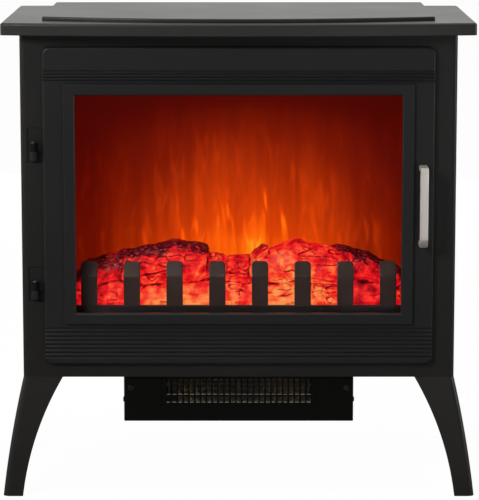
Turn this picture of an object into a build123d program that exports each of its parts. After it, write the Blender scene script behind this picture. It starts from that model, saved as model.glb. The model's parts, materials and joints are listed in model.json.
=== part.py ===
from build123d import *
import os
from math import cos, hypot, pi, radians, sin, tan

# Free-standing electric fireplace in the style of a small stove: a pressed steel casing on four
# splayed legs, a hinged glazed door, a lit log bed with a flame screen behind it, and a fan heater
# in a box that hangs under the base. Millimetres, +Z up, the front faces -Y, and the origin is on
# the floor under the middle of the object.

os.makedirs("parts", exist_ok=True)

# Casing: the window sets the size of the door, and the door sets the size of the casing
LEG_HEIGHT = 140.0          # floor to the underside of the casing
CASING_STILE = 26.0         # side of the door to the side of the casing
CASING_HEAD = 26.5          # top of the door to the underside of the top plate
BODY_DEPTH = 250.0
SHEET = 1.2                 # casing sheet steel
BEND_RADIUS = 6.0           # outside radius of the front corners
FRAME_RETURN = 30.0         # how far the front frame wraps onto each side
LAP = 12.0                  # side panel tucked behind that return
FLANGE = 15.0               # fixing flanges along the panel edges

# Top plate and the raised panel on it
TOP_SIDE_OVERHANG = 20.0
TOP_SKIN = 1.5
TOP_LIP = 14.0              # whole height of the turned-down edge
TOP_FRONT_OVERHANG = 18.0   # at the front corners
TOP_FRONT_BOW = 18.0        # how far the middle of the front edge stands ahead of its corners
TOP_BACK_OVERHANG = 10.0
TOP_CORNER = 6.0
TOP_EDGE = 3.0
PANEL_SIDE_GAP = 45.0       # side of the top plate to the side of the panel
PANEL_RISE = 4.5
PANEL_SKIN = 1.2
PANEL_FRONT_GAP = 18.0      # bare strip of top plate ahead of the panel, at the middle
PANEL_FRONT_BOW = 37.0
PANEL_BACK_GAP = 1.5
PANEL_CORNER = 4.0
PANEL_EDGE = 1.6

# Legs
FOOT_SPLAY = 24.5           # how far a foot stands out sideways past the casing
FOOT_REACH = 10.0           # how far a foot stands out ahead of, or behind, the casing
FOOT_WIDTH = 23.0
FOOT_DEPTH = 22.0
LEG_TOP_WIDTH = 46.0
LEG_TOP_DEPTH = 44.0
REAR_LEG_TRIM = 9.0         # rear legs are this much narrower, so the front legs hide them
LEG_OUTER_SAG = 2.0         # how far the outer edge bulges from a straight line
LEG_INNER_SAG = 8.0         # the same for the inner edge
LEG_WALL = 4.0
LEG_FLANGE = 4.0
LEG_EDGE = 7.0
LEG_SCREW = 5.0
LEG_SCREW_HEAD = 9.0
LEG_SCREW_END = 4.0         # thread that stands out above the base plate
LEG_SCREW_INSET = 16.0
LEG_SCREW_SPACING = 16.0

# Door
DOOR_STILE = 24.0           # side of the bezel to the side of the door
DOOR_HEAD = 42.0            # top of the bezel to the top of the door
DOOR_RAISE = 16.0           # underside of the casing to the bottom of the door
DOOR_PROUD = 8.0            # door face ahead of the casing front
DOOR_GAP = 0.5              # door rim to casing front
DOOR_SKIN = 2.2
DOOR_CORNER = 8.0
DOOR_EDGE = 3.0
DOOR_OVERLAP = 14.0         # how far the door covers the casing round the opening
OPENING_CORNER = 8.0
OPENING_RIM = 13.0          # depth of the turned-in edge of the opening
GROOVE_RADIUS = 1.6
GROOVE_DEPTH = 1.2
LOWER_GROOVES = 8
LOWER_GROOVE_PITCH = 4.75
LOWER_GROOVE_START = 8.7    # bottom of the door to the lowest groove
UPPER_GROOVES = 4
UPPER_GROOVE_PITCH = 3.7
UPPER_GROOVE_GAP = 2.6      # bezel to the nearest groove above it

# Window in the door
BEZEL_WIDTH = 400.0
BEZEL_HEIGHT = 278.0
BEZEL_RAISE = 48.0          # bottom of the door to the bottom of the bezel
BEZEL_BORDER = 13.0
BEZEL_PROUD = 5.0
BEZEL_SEAT = 8.0            # how far the bezel's flange laps onto the door
BEZEL_CLEARANCE = 0.3
BEZEL_EDGE = 1.2
GASKET = 1.5
GASKET_WIDTH = 4.0
GLASS = 4.0
GLASS_LAP = 6.0             # glass past the door's window on each side
GLASS_CORNER = 3.0
CLIP_WIDTH = 14.0
CLIP_SHEET = 1.5
CLIP_FOOT = 9.0
CLIP_GRIP = 8.0             # how far a clip reaches over the glass
CLIP_CLEARANCE = 0.5
CLIP_SPACING = 130.0

# Handle
HANDLE_LENGTH = 93.0
HANDLE_WIDTH = 9.5
HANDLE_THICKNESS = 6.0
HANDLE_REACH = 28.0         # door face to the front of the handle
HANDLE_BEND = 11.0
HANDLE_EDGE = 1.8
HANDLE_CENTRE_RAISE = 186.5 # bottom of the door to the middle of the handle
HANDLE_INSET = 13.0         # right edge of the door to the middle of the handle
HANDLE_SCREW = 3.0
HANDLE_SCREW_HEAD = 6.0
HANDLE_SCREW_DEPTH = 12.0

# Hinges and catch
HINGE_OFFSET = 10.5         # pin to the left edge of the door
HINGE_PROUD = 4.5           # pin ahead of the casing front
HINGE_UPPER_RAISE = 264.0   # underside of the casing to the split of the upper hinge
HINGE_LOWER_RAISE = 102.5
KNUCKLE = 10.0              # outside diameter of a hinge knuckle
KNUCKLE_HEIGHT = 9.5
KNUCKLE_SPLIT = 0.3
HINGE_PIN = 4.0
HINGE_HEAD = 7.0
PIN_FIT = 0.08              # radial running clearance of a pin or shaft
HINGE_LEAF = 2.0
LEAF_CLEARANCE = 0.4        # round a door leaf where it passes the door's rim
HINGE_WEB = 6.0
PIN_TAIL = 1.0              # pin below the lower knuckle
HEAD_GAP = 0.2
HINGE_HEAD_HEIGHT = 2.6
NOTCH_LEFT = 7.5            # pin to the left side of the hinge notch
NOTCH_RIGHT = 12.5
NOTCH_BELOW = 13.0
NOTCH_ABOVE = 27.0
LEAF_MARGIN = 5.0           # hinge leaf past the notch
DOOR_LEAF_REACH = 30.0
DOOR_LEAF_PAD = 24.0
CATCH_HEIGHT = 40.0
CATCH_WIDTH = 9.5
CATCH_GAP = 0.3
CATCH_POLE = 1.5
CATCH_CORNER = 1.0
STRIKE_CLEARANCE = 1.0      # strike plate to the side of the opening

# Firebox
FIREBOX_INSET = 10.0        # side of the opening to the lining
FIREBOX_SHEET = 1.0
FLOOR_RAISE = 42.0          # bottom of the opening to the firebox floor
CEILING_DROP = 30.0         # top of the opening to the firebox ceiling
SCREEN_SETBACK = 105.0      # casing front to the flame screen
SCREEN_THICKNESS = 2.5
WALL_FLANGE = 14.0
WALL_FLANGE_LAP = 4.0       # ceiling flange above the opening
FLOOR_FLANGE = 12.0

# Grate
BAR_COUNT = 8
BAR_WIDTH = 19.0
BAR_THICKNESS = 3.0
BAR_HEIGHT = 60.0
BAR_BEND_HEIGHT = 45.0
BAR_LEAN = 24.0             # degrees that the tip leans back
BAR_TIP_RADIUS = 5.0
GRATE_SETBACK = 18.0
RAIL_HEIGHT = 7.0
RAIL_DEPTH = 6.0
RAIL_END = 7.0              # rail past the outer bars
RAIL_GAP = 9.9              # rail to the firebox lining

# Log bed
LOG_SETBACK = 30.0
LOG_DEPTH = 70.0
LOG_GAP = 4.0               # moulding to the firebox lining
EMBER_HEIGHT = 36.0         # mean crest of the ember mound
EMBER_SWELL = 6.0           # how far the crest rises and falls
EMBER_WAVES = 3
EMBER_SECTIONS = 13
EMBER_FRONT = 22.0          # height of the steep front
EMBER_BACK = 24.0
EMBER_WALL = 9.0
EMBER_HOLLOW = 15.0
LOG_SIDES = 11
BARK_RIDGE = 0.09           # how far bark ridges stand out, as a share of the log's radius
LOGS = {                    # each log: middle height, setback from the bed's front and radius along X
    "left_end": ((-190.0, 27.0, 30.0, 17.0), (-158.0, 38.0, 34.0, 22.0), (-118.0, 46.0, 38.0, 20.0)),
    "left": ((-136.0, 44.0, 26.0, 22.0), (-78.0, 54.0, 31.0, 26.0), (-24.0, 50.0, 36.0, 23.0)),
    "middle": ((-58.0, 40.0, 51.0, 16.0), (-6.0, 43.0, 52.0, 16.0), (46.0, 46.0, 50.0, 17.0)),
    "right": ((14.0, 40.0, 36.0, 22.0), (70.0, 55.0, 31.0, 27.0), (132.0, 46.0, 26.0, 23.0)),
    "right_end": ((102.0, 53.0, 43.0, 20.0), (150.0, 44.0, 38.0, 21.0), (190.0, 27.0, 32.0, 17.0)),
}

# Flame mechanism
SPINDLE_SETBACK = 145.0
SPINDLE_LIFT = 34.0         # firebox floor to the spindle
SPINDLE_LENGTH = 330.0
SPINDLE_ROD = 5.0
SPINDLE_JOURNAL = 3.0
SPINDLE_PLAY = 0.3          # end float at each bracket
JOURNAL_LENGTH = 9.0
FLAG_COUNT = 16
FLAG_WIDTH = 17.0
FLAG_SPAN = 34.0
FLAG_SHEET = 0.6
FLAG_TWIST = 67.5           # degrees from one flag to the next
BRACKET_SHEET = 1.5
BRACKET_WIDTH = 24.0
BRACKET_FOOT = 14.0
BRACKET_HEAD = 12.0         # spindle to the top of its bracket
MOTOR_DIAMETER = 48.0
MOTOR_LENGTH = 18.0
MOTOR_EDGE = 2.0
LED_BOARD_WIDTH = 14.0
LED_BOARD_THICKNESS = 1.6
LED_BOARD_LENGTH = 300.0
LED_BOARD_CORNER = 1.0
LED_SIZE = 5.0
LED_HEIGHT = 1.8
LED_COUNT = 15
FLAME_LED_SETBACK = 190.0

# Heater box
HEATER_WIDTH = 267.0
HEATER_DROP = 53.5
HEATER_DEPTH = 140.0
HEATER_SETBACK = 5.0
HEATER_SHEET = 1.0
HEATER_CORNER = 2.0
HEATER_FLANGE = 10.0
HEATER_FRONT_SCREW_DROP = 14.5
HEATER_SIDE_SCREW_DROP = 34.0
HEATER_SIDE_SCREW_SETBACK = 30.0
HEATER_BASE_SCREW_INSET = 30.0
OUTLET_WIDTH = 180.0
OUTLET_SILL = 17.5
INLET_SLOTS = 20
INLET_SLOT_PITCH = 10.0
INLET_SLOT_WIDTH = 4.0
INLET_SLOT_LENGTH = 44.0
GUARD_SHEET = 1.0
GUARD_LAP = 6.0             # guard below the sill of the outlet
GUARD_CLEARANCE = 0.3
GUARD_SLOTS = 25
GUARD_PITCH = 6.8
GUARD_FIRST = 5.0           # sill of the outlet to the short slots
GUARD_SLOT_WIDTH = 4.8
GUARD_TALL_SLOT = 18.5
GUARD_SHORT_SLOT = 6.0
GUARD_BAR = 3.4             # solid strip between the two rows of slots

# Heating element
ELEMENT_SETBACK = 20.0      # back of the guard to the wire
MICA = 1.5
MICA_DEPTH = 16.0
ELEMENT_WIDTH = 176.0
WIRE = 1.2
WIRE_RUNS = 24
WIRE_PITCH = 6.6
WIRE_SEAT = 0.3             # wire bend to the mica strip
WIRE_SIDES = 6
WIRE_SAMPLES = 400

# Fan
FAN_DIAMETER = 44.0
FAN_LENGTH = 168.0
FAN_BLADES = 24
BLADE_THICKNESS = 0.8
BLADE_DEPTH = 7.0
BLADE_CAMBER = 1.8
FAN_DISC = 1.5
FAN_SHAFT = 5.0
FAN_SETBACK = 78.0          # heater front to the fan's axis
SCROLL_GAP = 2.2
SCROLL_SHEET = 1.0
SCROLL_END_GAP = 3.0
BUSH_DIAMETER = 10.0
BUSH_FLANGE = 14.0
BUSH_LENGTH = 6.0
FAN_MOTOR_SIZE = 44.0
FAN_MOTOR_CORNER = 6.0
FAN_MOTOR_STACK = 16.0
FAN_MOTOR_BELL = 28.0
FAN_MOTOR_BELL_LENGTH = 7.0
FAN_MOTOR_BORE = 14.0       # depth of the bore that takes the shaft
CUTOUT_RAISE = 10.0         # fan axis to the middle of the cut-out
CUTOUT_AHEAD = 32.0
CUTOUT_DIAMETER = 16.0
CUTOUT_HEIGHT = 6.0
CUTOUT_EDGE = 1.5

# Controls behind the lower part of the door
CONTROL_SHEET = 1.5
CONTROL_LAP = 5.0           # panel past the edge of the opening
ROCKER_COUNT = 3
ROCKER_PITCH = 34.0
ROCKER_WIDTH = 13.0
ROCKER_LENGTH = 16.4
ROCKER_VALLEY = 3.5         # pivot to the valley between the two facets
ROCKER_BACK = 3.0           # pivot to the back of the rocker
ROCKER_PIVOT_DEPTH = 1.0    # pivot behind the front of the control panel
ROCKER_PIN = 2.0
ROCKER_CLEARANCE = 0.4
ROCKER_TILT = 9.0           # degrees of each facet, and of the rocker at rest
ROCKER_FIRST = -96.0        # middle of the first rocker
SWITCH_FLANGE = 2.0
SWITCH_BEZEL = 1.6
SWITCH_DEPTH = 16.0
SWITCH_WALL = 1.2
KNOB_X = 60.0
KNOB_DIAMETER = 27.0
KNOB_HEIGHT = 9.0
KNOB_RIDGES = 18
KNOB_RIDGE = 1.6
KNOB_BORE_DEPTH = 7.0
KNOB_SHAFT = 6.0
KNOB_LIFT = 0.5
KNOB_EDGE = 1.5
KNOB_MARK_DEPTH = 0.6
THERMOSTAT_NOSE = 12.0
THERMOSTAT_DIAMETER = 32.0
THERMOSTAT_LENGTH = 20.0

# Back
VENT_SLOTS = 18
VENT_PITCH = 14.0
VENT_SLOT_WIDTH = 5.0
VENT_SLOT_LENGTH = 46.0
VENT_INSET = 52.0           # top or bottom edge of the back to the middle of a vent row
GLAND_DIAMETER = 15.0
GLAND_FLANGE = 21.0
GLAND_FLANGE_LENGTH = 4.0
GLAND_PROUD = 9.0
GLAND_CORD = 7.0
GLAND_X = -170.0
GLAND_RAISE = 40.0
SCREW = 4.0
SCREW_HEAD = 7.5
SCREW_HEAD_HEIGHT = 2.2
SCREW_LENGTH = 9.0
SCREW_FIT = 0.15            # radial clearance of a screw in its hole
SCREW_END_GAP = 1.0         # screw's end to the bottom of its hole
SCREW_EDGE = 8.0            # edge of a panel to its screws
BACK_SCREW_ROWS = 4
BACK_SCREW_INSET = 25.0     # top or bottom edge of the back to its nearest screws

# Levels and places that follow from the sizes above
FRONT_REACH = max(DOOR_PROUD + HANDLE_REACH, TOP_FRONT_OVERHANG + TOP_FRONT_BOW)
BACK_REACH = BODY_DEPTH + TOP_BACK_OVERHANG
FRONT = (FRONT_REACH - BACK_REACH) / 2          # front face of the casing
BACK = FRONT + BODY_DEPTH
DOOR_WIDTH = BEZEL_WIDTH + 2 * DOOR_STILE
DOOR_HEIGHT = BEZEL_RAISE + BEZEL_HEIGHT + DOOR_HEAD
BODY_WIDTH = DOOR_WIDTH + 2 * CASING_STILE
BODY_HEIGHT = DOOR_RAISE + DOOR_HEIGHT + CASING_HEAD
BODY_TOP = LEG_HEIGHT + BODY_HEIGHT
TOP_WIDTH = BODY_WIDTH + 2 * TOP_SIDE_OVERHANG
PANEL_WIDTH = TOP_WIDTH - 2 * PANEL_SIDE_GAP
TOP_Z = BODY_TOP + TOP_SKIN
HALF_BODY = BODY_WIDTH / 2
DOOR_FACE = FRONT - DOOR_PROUD
DOOR_INSIDE = DOOR_FACE + DOOR_SKIN
DOOR_DEPTH = DOOR_PROUD - DOOR_GAP
DOOR_BOTTOM = LEG_HEIGHT + DOOR_RAISE
DOOR_MIDDLE = DOOR_BOTTOM + DOOR_HEIGHT / 2
OPENING_WIDTH = DOOR_WIDTH - 2 * DOOR_OVERLAP
OPENING_HEIGHT = DOOR_HEIGHT - 2 * DOOR_OVERLAP
OPENING_BOTTOM = DOOR_BOTTOM + DOOR_OVERLAP
RIM_BACK = FRONT + OPENING_RIM
BEZEL_MIDDLE = DOOR_BOTTOM + BEZEL_RAISE + BEZEL_HEIGHT / 2
BEZEL_TOP = BEZEL_MIDDLE + BEZEL_HEIGHT / 2
WINDOW_WIDTH = BEZEL_WIDTH - 2 * BEZEL_SEAT     # hole in the door
WINDOW_HEIGHT = BEZEL_HEIGHT - 2 * BEZEL_SEAT
GLASS_WIDTH = WINDOW_WIDTH + 2 * GLASS_LAP
GLASS_HEIGHT = WINDOW_HEIGHT + 2 * GLASS_LAP
GLASS_FRONT = DOOR_INSIDE + GASKET
GLASS_BACK = GLASS_FRONT + GLASS
HANDLE_X = DOOR_WIDTH / 2 - HANDLE_INSET
HANDLE_Z = DOOR_BOTTOM + HANDLE_CENTRE_RAISE
HINGE_X = -DOOR_WIDTH / 2 - HINGE_OFFSET
HINGE_Y = FRONT - HINGE_PROUD
FLOOR_Z = OPENING_BOTTOM + FLOOR_RAISE
CEILING_Z = OPENING_BOTTOM + OPENING_HEIGHT - CEILING_DROP
HALF_FIREBOX = OPENING_WIDTH / 2 - FIREBOX_INSET
SCREEN_FRONT = FRONT + SCREEN_SETBACK
LOG_FRONT = FRONT + LOG_SETBACK
HALF_LOG_BED = HALF_FIREBOX - LOG_GAP
SPINDLE_Y = FRONT + SPINDLE_SETBACK
SPINDLE_Z = FLOOR_Z + SPINDLE_LIFT
HEATER_FRONT = FRONT + HEATER_SETBACK
HEATER_BOTTOM = LEG_HEIGHT - HEATER_DROP
GUARD_BACK = HEATER_FRONT + HEATER_SHEET + GUARD_SHEET
WIRE_Y = GUARD_BACK + ELEMENT_SETBACK
FAN_Y = HEATER_FRONT + FAN_SETBACK
FAN_Z = LEG_HEIGHT - HEATER_DROP / 2
CONTROL_FRONT = RIM_BACK
CONTROL_Z = (OPENING_BOTTOM + FLOOR_Z - FIREBOX_SHEET) / 2
GLAND_Z = LEG_HEIGHT + GLAND_RAISE


def facing_front(y):
    """A sketch plane seen from the front: its x is X, its y is Z and it extrudes towards the viewer."""
    return Plane(origin=(0, y, 0), x_dir=(1, 0, 0), z_dir=(0, -1, 0))


def facing_right(x):
    """A sketch plane seen from the right: its x is Y, its y is Z and it extrudes towards +X."""
    return Plane(origin=(x, 0, 0), x_dir=(0, 1, 0), z_dir=(1, 0, 0))


def slab(x, y, z, mode=Mode.ADD):
    """A rectangular stretch of sheet or block between two limits on each axis."""
    with Locations(((x[0] + x[1]) / 2, (y[0] + y[1]) / 2, (z[0] + z[1]) / 2)):
        Box(abs(x[1] - x[0]), abs(y[1] - y[0]), abs(z[1] - z[0]), mode=mode)


# Places of the fasteners
LEG_SCREW_PLACES = [
    (
        side * (HALF_BODY - LEG_SCREW_INSET),
        end + inward * (LEG_SCREW_INSET + step * LEG_SCREW_SPACING),
    )
    for side in (-1, 1)
    for end, inward in ((FRONT, 1), (BACK, -1))
    for step in (0, 1)
]
back_screw_pitch = (BODY_HEIGHT - 2 * BACK_SCREW_INSET) / (BACK_SCREW_ROWS - 1)
BACK_SCREW_PLACES = [
    (side * (HALF_BODY - SCREW_EDGE), LEG_HEIGHT + BACK_SCREW_INSET + row * back_screw_pitch)
    for side in (-1, 1)
    for row in range(BACK_SCREW_ROWS)
]
HANDLE_SCREW_PLACES = [
    HANDLE_Z + end * (HANDLE_LENGTH - HANDLE_THICKNESS) / 2 for end in (-1, 1)
]
HEATER_SCREW_X = HEATER_WIDTH / 2 - SCREW_EDGE
HEATER_SCREW_Z = LEG_HEIGHT - HEATER_FRONT_SCREW_DROP
HEATER_SIDE_SCREW_Y = HEATER_FRONT + HEATER_SIDE_SCREW_SETBACK
HEATER_SIDE_SCREW_Z = LEG_HEIGHT - HEATER_SIDE_SCREW_DROP
HEATER_BASE_SCREWS = [
    (side * (HEATER_WIDTH / 2 - HEATER_SHEET - HEATER_FLANGE / 2), HEATER_FRONT + y)
    for side in (-1, 1)
    for y in (HEATER_BASE_SCREW_INSET, HEATER_DEPTH - HEATER_BASE_SCREW_INSET)
]
ROCKER_PLACES = [ROCKER_FIRST + step * ROCKER_PITCH for step in range(ROCKER_COUNT)]
HINGE_HEIGHTS = {
    "upper": LEG_HEIGHT + HINGE_UPPER_RAISE,
    "lower": LEG_HEIGHT + HINGE_LOWER_RAISE,
}


# Top plate: a pressed tray with a turned-down lip and a bowed front edge
with BuildPart() as top_plate:
    with BuildSketch(Plane.XY.offset(TOP_Z - TOP_LIP)) as top_plan:
        with BuildLine():
            Polyline(
                (TOP_WIDTH / 2, FRONT - TOP_FRONT_OVERHANG),
                (TOP_WIDTH / 2, BACK + TOP_BACK_OVERHANG),
                (-TOP_WIDTH / 2, BACK + TOP_BACK_OVERHANG),
                (-TOP_WIDTH / 2, FRONT - TOP_FRONT_OVERHANG),
            )
            ThreePointArc(
                (-TOP_WIDTH / 2, FRONT - TOP_FRONT_OVERHANG),
                (0, FRONT - TOP_FRONT_OVERHANG - TOP_FRONT_BOW),
                (TOP_WIDTH / 2, FRONT - TOP_FRONT_OVERHANG),
            )
        make_face()
        fillet(top_plan.vertices(), TOP_CORNER)
    extrude(amount=TOP_LIP)
    fillet(top_plate.faces().sort_by(Axis.Z)[-1].edges(), TOP_EDGE)
    offset(amount=-TOP_SKIN, openings=top_plate.faces().sort_by(Axis.Z)[0])

# Raised panel on the top plate, with a more strongly bowed front
with BuildPart() as raised_top_panel:
    panel_centre_front = FRONT - TOP_FRONT_OVERHANG - TOP_FRONT_BOW + PANEL_FRONT_GAP
    panel_corner_front = panel_centre_front + PANEL_FRONT_BOW
    panel_back = BACK + TOP_BACK_OVERHANG - PANEL_BACK_GAP - TOP_EDGE
    with BuildSketch(Plane.XY.offset(TOP_Z)) as panel_plan:
        with BuildLine():
            Polyline(
                (PANEL_WIDTH / 2, panel_corner_front),
                (PANEL_WIDTH / 2, panel_back),
                (-PANEL_WIDTH / 2, panel_back),
                (-PANEL_WIDTH / 2, panel_corner_front),
            )
            ThreePointArc(
                (-PANEL_WIDTH / 2, panel_corner_front),
                (0, panel_centre_front),
                (PANEL_WIDTH / 2, panel_corner_front),
            )
        make_face()
        fillet(panel_plan.vertices(), PANEL_CORNER)
    extrude(amount=PANEL_RISE)
    fillet(raised_top_panel.faces().sort_by(Axis.Z)[-1].edges(), PANEL_EDGE)
    offset(amount=-PANEL_SKIN, openings=raised_top_panel.faces().sort_by(Axis.Z)[0])

# Front frame: a sheet that wraps round both front corners, with the door opening and hinge notches
with BuildPart() as front_frame:
    with BuildSketch(Plane.XY.offset(LEG_HEIGHT)) as frame_section:
        with Locations((0, FRONT + FRAME_RETURN / 2)):
            Rectangle(BODY_WIDTH, FRAME_RETURN)
        fillet(frame_section.vertices().group_by(Axis.Y)[0], BEND_RADIUS)
        with BuildSketch(mode=Mode.SUBTRACT) as frame_inside:
            with Locations((0, FRONT + SHEET + FRAME_RETURN / 2)):
                Rectangle(BODY_WIDTH - 2 * SHEET, FRAME_RETURN)
            fillet(frame_inside.vertices().group_by(Axis.Y)[0], BEND_RADIUS - SHEET)
    extrude(amount=BODY_HEIGHT)
    opening_middle = OPENING_BOTTOM + OPENING_HEIGHT / 2
    with BuildSketch(facing_front(FRONT)):
        with Locations((0, opening_middle)):
            RectangleRounded(
                OPENING_WIDTH + 2 * SHEET, OPENING_HEIGHT + 2 * SHEET, OPENING_CORNER + SHEET
            )
    extrude(amount=-OPENING_RIM)
    with BuildSketch(facing_front(FRONT)):
        with Locations((0, opening_middle)):
            RectangleRounded(OPENING_WIDTH, OPENING_HEIGHT, OPENING_CORNER)
        for split_z in HINGE_HEIGHTS.values():
            notch_middle = split_z + (NOTCH_ABOVE - NOTCH_BELOW) / 2
            with Locations((HINGE_X + (NOTCH_RIGHT - NOTCH_LEFT) / 2, notch_middle)):
                Rectangle(NOTCH_LEFT + NOTCH_RIGHT, NOTCH_ABOVE + NOTCH_BELOW)
    extrude(amount=-OPENING_RIM, mode=Mode.SUBTRACT)
    inner = HALF_BODY - BEND_RADIUS
    slab((-inner, inner), (FRONT, FRONT + FLANGE), (BODY_TOP - SHEET, BODY_TOP))

# Side panel: tucked behind the front frame's return, with a flange for the back panel
with BuildPart() as side_panel_left:
    seam = FRONT + FRAME_RETURN
    panel_end = BACK - SHEET
    with BuildSketch(Plane.XY.offset(LEG_HEIGHT)):
        with BuildLine():
            Polyline(
                (-HALF_BODY, seam),
                (-HALF_BODY, panel_end),
                (-HALF_BODY + SHEET + FLANGE, panel_end),
                (-HALF_BODY + SHEET + FLANGE, panel_end - SHEET),
                (-HALF_BODY + SHEET, panel_end - SHEET),
                (-HALF_BODY + SHEET, seam + 2 * SHEET),
                (-HALF_BODY + 2 * SHEET, seam + SHEET),
                (-HALF_BODY + 2 * SHEET, seam - LAP),
                (-HALF_BODY + SHEET, seam - LAP),
                (-HALF_BODY + SHEET, seam),
                close=True,
            )
        make_face()
    extrude(amount=BODY_HEIGHT)
    with BuildSketch(facing_front(panel_end)):
        for place_x, place_z in BACK_SCREW_PLACES:
            if place_x < 0:
                with Locations((place_x, place_z)):
                    Circle(SCREW / 2 + SCREW_FIT)
    extrude(amount=SHEET, mode=Mode.SUBTRACT)
with BuildPart() as side_panel_right:
    mirror(side_panel_left.part, about=Plane.YZ)

# Back panel with two rows of vent slots, its screw holes and the hole for the cord gland
with BuildPart() as back_panel:
    with BuildSketch(facing_front(BACK)):
        with Locations((0, LEG_HEIGHT + BODY_HEIGHT / 2)):
            Rectangle(BODY_WIDTH, BODY_HEIGHT)
        with Locations((0, LEG_HEIGHT + VENT_INSET), (0, BODY_TOP - VENT_INSET)):
            with GridLocations(VENT_PITCH, 1, VENT_SLOTS, 1):
                SlotOverall(VENT_SLOT_LENGTH, VENT_SLOT_WIDTH, rotation=90, mode=Mode.SUBTRACT)
        with Locations(BACK_SCREW_PLACES):
            Circle(SCREW / 2 + SCREW_FIT, mode=Mode.SUBTRACT)
        with Locations((GLAND_X, GLAND_Z)):
            Circle(GLAND_DIAMETER / 2, mode=Mode.SUBTRACT)
    extrude(amount=SHEET)

# Base plate, which carries the legs and the heater box
with BuildPart() as base_plate:
    with BuildSketch(Plane.XY.offset(LEG_HEIGHT)) as base_plan:
        with Locations((0, (FRONT + BACK) / 2)):
            Rectangle(BODY_WIDTH - 2 * SHEET, BODY_DEPTH - 2 * SHEET)
        fillet(base_plan.vertices().group_by(Axis.Y)[0], BEND_RADIUS - SHEET)
        with Locations(LEG_SCREW_PLACES):
            Circle(LEG_SCREW / 2 + SCREW_FIT, mode=Mode.SUBTRACT)
        with Locations(*HEATER_BASE_SCREWS):
            Circle(SCREW / 2 + SCREW_FIT, mode=Mode.SUBTRACT)
        with Locations((0, FAN_Y)):
            Rectangle(FAN_LENGTH, FAN_DIAMETER, mode=Mode.SUBTRACT)
    extrude(amount=SHEET)
    for side in (-1, 1):
        notch = (side * (HALF_BODY - 2 * SHEET), side * HALF_BODY)
        lap_start = FRONT + FRAME_RETURN - LAP
        slab(notch, (lap_start, BACK), (LEG_HEIGHT, LEG_HEIGHT + SHEET), Mode.SUBTRACT)
    flange_start = BACK - 2 * SHEET
    slab((-HALF_BODY, HALF_BODY), (flange_start, BACK), (LEG_HEIGHT, BODY_TOP), Mode.SUBTRACT)


def leg_block(inset, top, trim):
    """One splayed leg as a solid: the front outline and the side outline cut each other to shape.

    Moving both outlines inwards by inset gives the hollow that leaves an angle section.
    Trim comes off the inner edge of the front outline.
    """
    left = -HALF_BODY + inset
    front = FRONT + inset
    foot_left = left - FOOT_SPLAY
    foot_front = front - FOOT_REACH
    foot_width = FOOT_WIDTH - trim
    top_width = LEG_TOP_WIDTH - trim
    middle = LEG_HEIGHT / 2
    with BuildPart() as block:
        with BuildSketch(facing_front(front + LEG_TOP_DEPTH)):
            with BuildLine():
                ThreePointArc(
                    (left, LEG_HEIGHT),
                    (left - FOOT_SPLAY / 2 - LEG_OUTER_SAG, middle),
                    (foot_left, 0),
                )
                Line((foot_left, 0), (foot_left + foot_width, 0))
                ThreePointArc(
                    (foot_left + foot_width, 0),
                    (
                        left + (top_width - FOOT_SPLAY + foot_width) / 2 - LEG_INNER_SAG,
                        middle,
                    ),
                    (left + top_width, LEG_HEIGHT),
                )
                Line((left + top_width, LEG_HEIGHT), (left, LEG_HEIGHT))
            make_face()
        extrude(amount=LEG_TOP_DEPTH + 2 * FOOT_REACH)
        with BuildSketch(facing_right(foot_left - LEG_OUTER_SAG)):
            with BuildLine():
                ThreePointArc(
                    (front, LEG_HEIGHT),
                    (front - FOOT_REACH / 2 - LEG_OUTER_SAG / 2, middle),
                    (foot_front, 0),
                )
                Line((foot_front, 0), (foot_front + FOOT_DEPTH, 0))
                ThreePointArc(
                    (foot_front + FOOT_DEPTH, 0),
                    (
                        front + (LEG_TOP_DEPTH - FOOT_REACH + FOOT_DEPTH) / 2 - LEG_INNER_SAG,
                        middle,
                    ),
                    (front + LEG_TOP_DEPTH, LEG_HEIGHT),
                )
                Line((front + LEG_TOP_DEPTH, LEG_HEIGHT), (front, LEG_HEIGHT))
            make_face()
        extrude(amount=LEG_TOP_WIDTH + 2 * FOOT_SPLAY, mode=Mode.INTERSECT)
        if inset > 0:
            slab((-TOP_WIDTH, TOP_WIDTH), (-TOP_WIDTH, TOP_WIDTH), (top, LEG_HEIGHT), Mode.SUBTRACT)
    return block.part


def leg(trim):
    """The front left leg: an angle-section casting with a rounded outer arris and a screwed flange."""
    with BuildPart() as casting:
        add(leg_block(0, LEG_HEIGHT, trim))
        arrises = casting.edges().filter_by(lambda edge: edge.length > LEG_HEIGHT)
        fillet(arrises.sort_by(lambda edge: (edge @ 0.5).X + (edge @ 0.5).Y)[0], LEG_EDGE)
        add(leg_block(LEG_WALL, LEG_HEIGHT - LEG_FLANGE, trim), mode=Mode.SUBTRACT)
        with Locations(*[(x, y, LEG_HEIGHT) for x, y in LEG_SCREW_PLACES[0:2]]):
            Hole(LEG_SCREW / 2 + SCREW_FIT, depth=LEG_FLANGE)
    return casting.part


# Legs: the rear ones are narrower and mirrored front to back
with BuildPart() as leg_front_left:
    add(leg(0))
rear_leg = leg(REAR_LEG_TRIM)
middle_plane = Plane(origin=(0, (FRONT + BACK) / 2, 0), z_dir=(0, 1, 0))
with BuildPart() as leg_front_right:
    mirror(leg_front_left.part, about=Plane.YZ)
with BuildPart() as leg_rear_left:
    mirror(rear_leg, about=middle_plane)
with BuildPart() as leg_rear_right:
    mirror(leg_rear_left.part, about=Plane.YZ)


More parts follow.
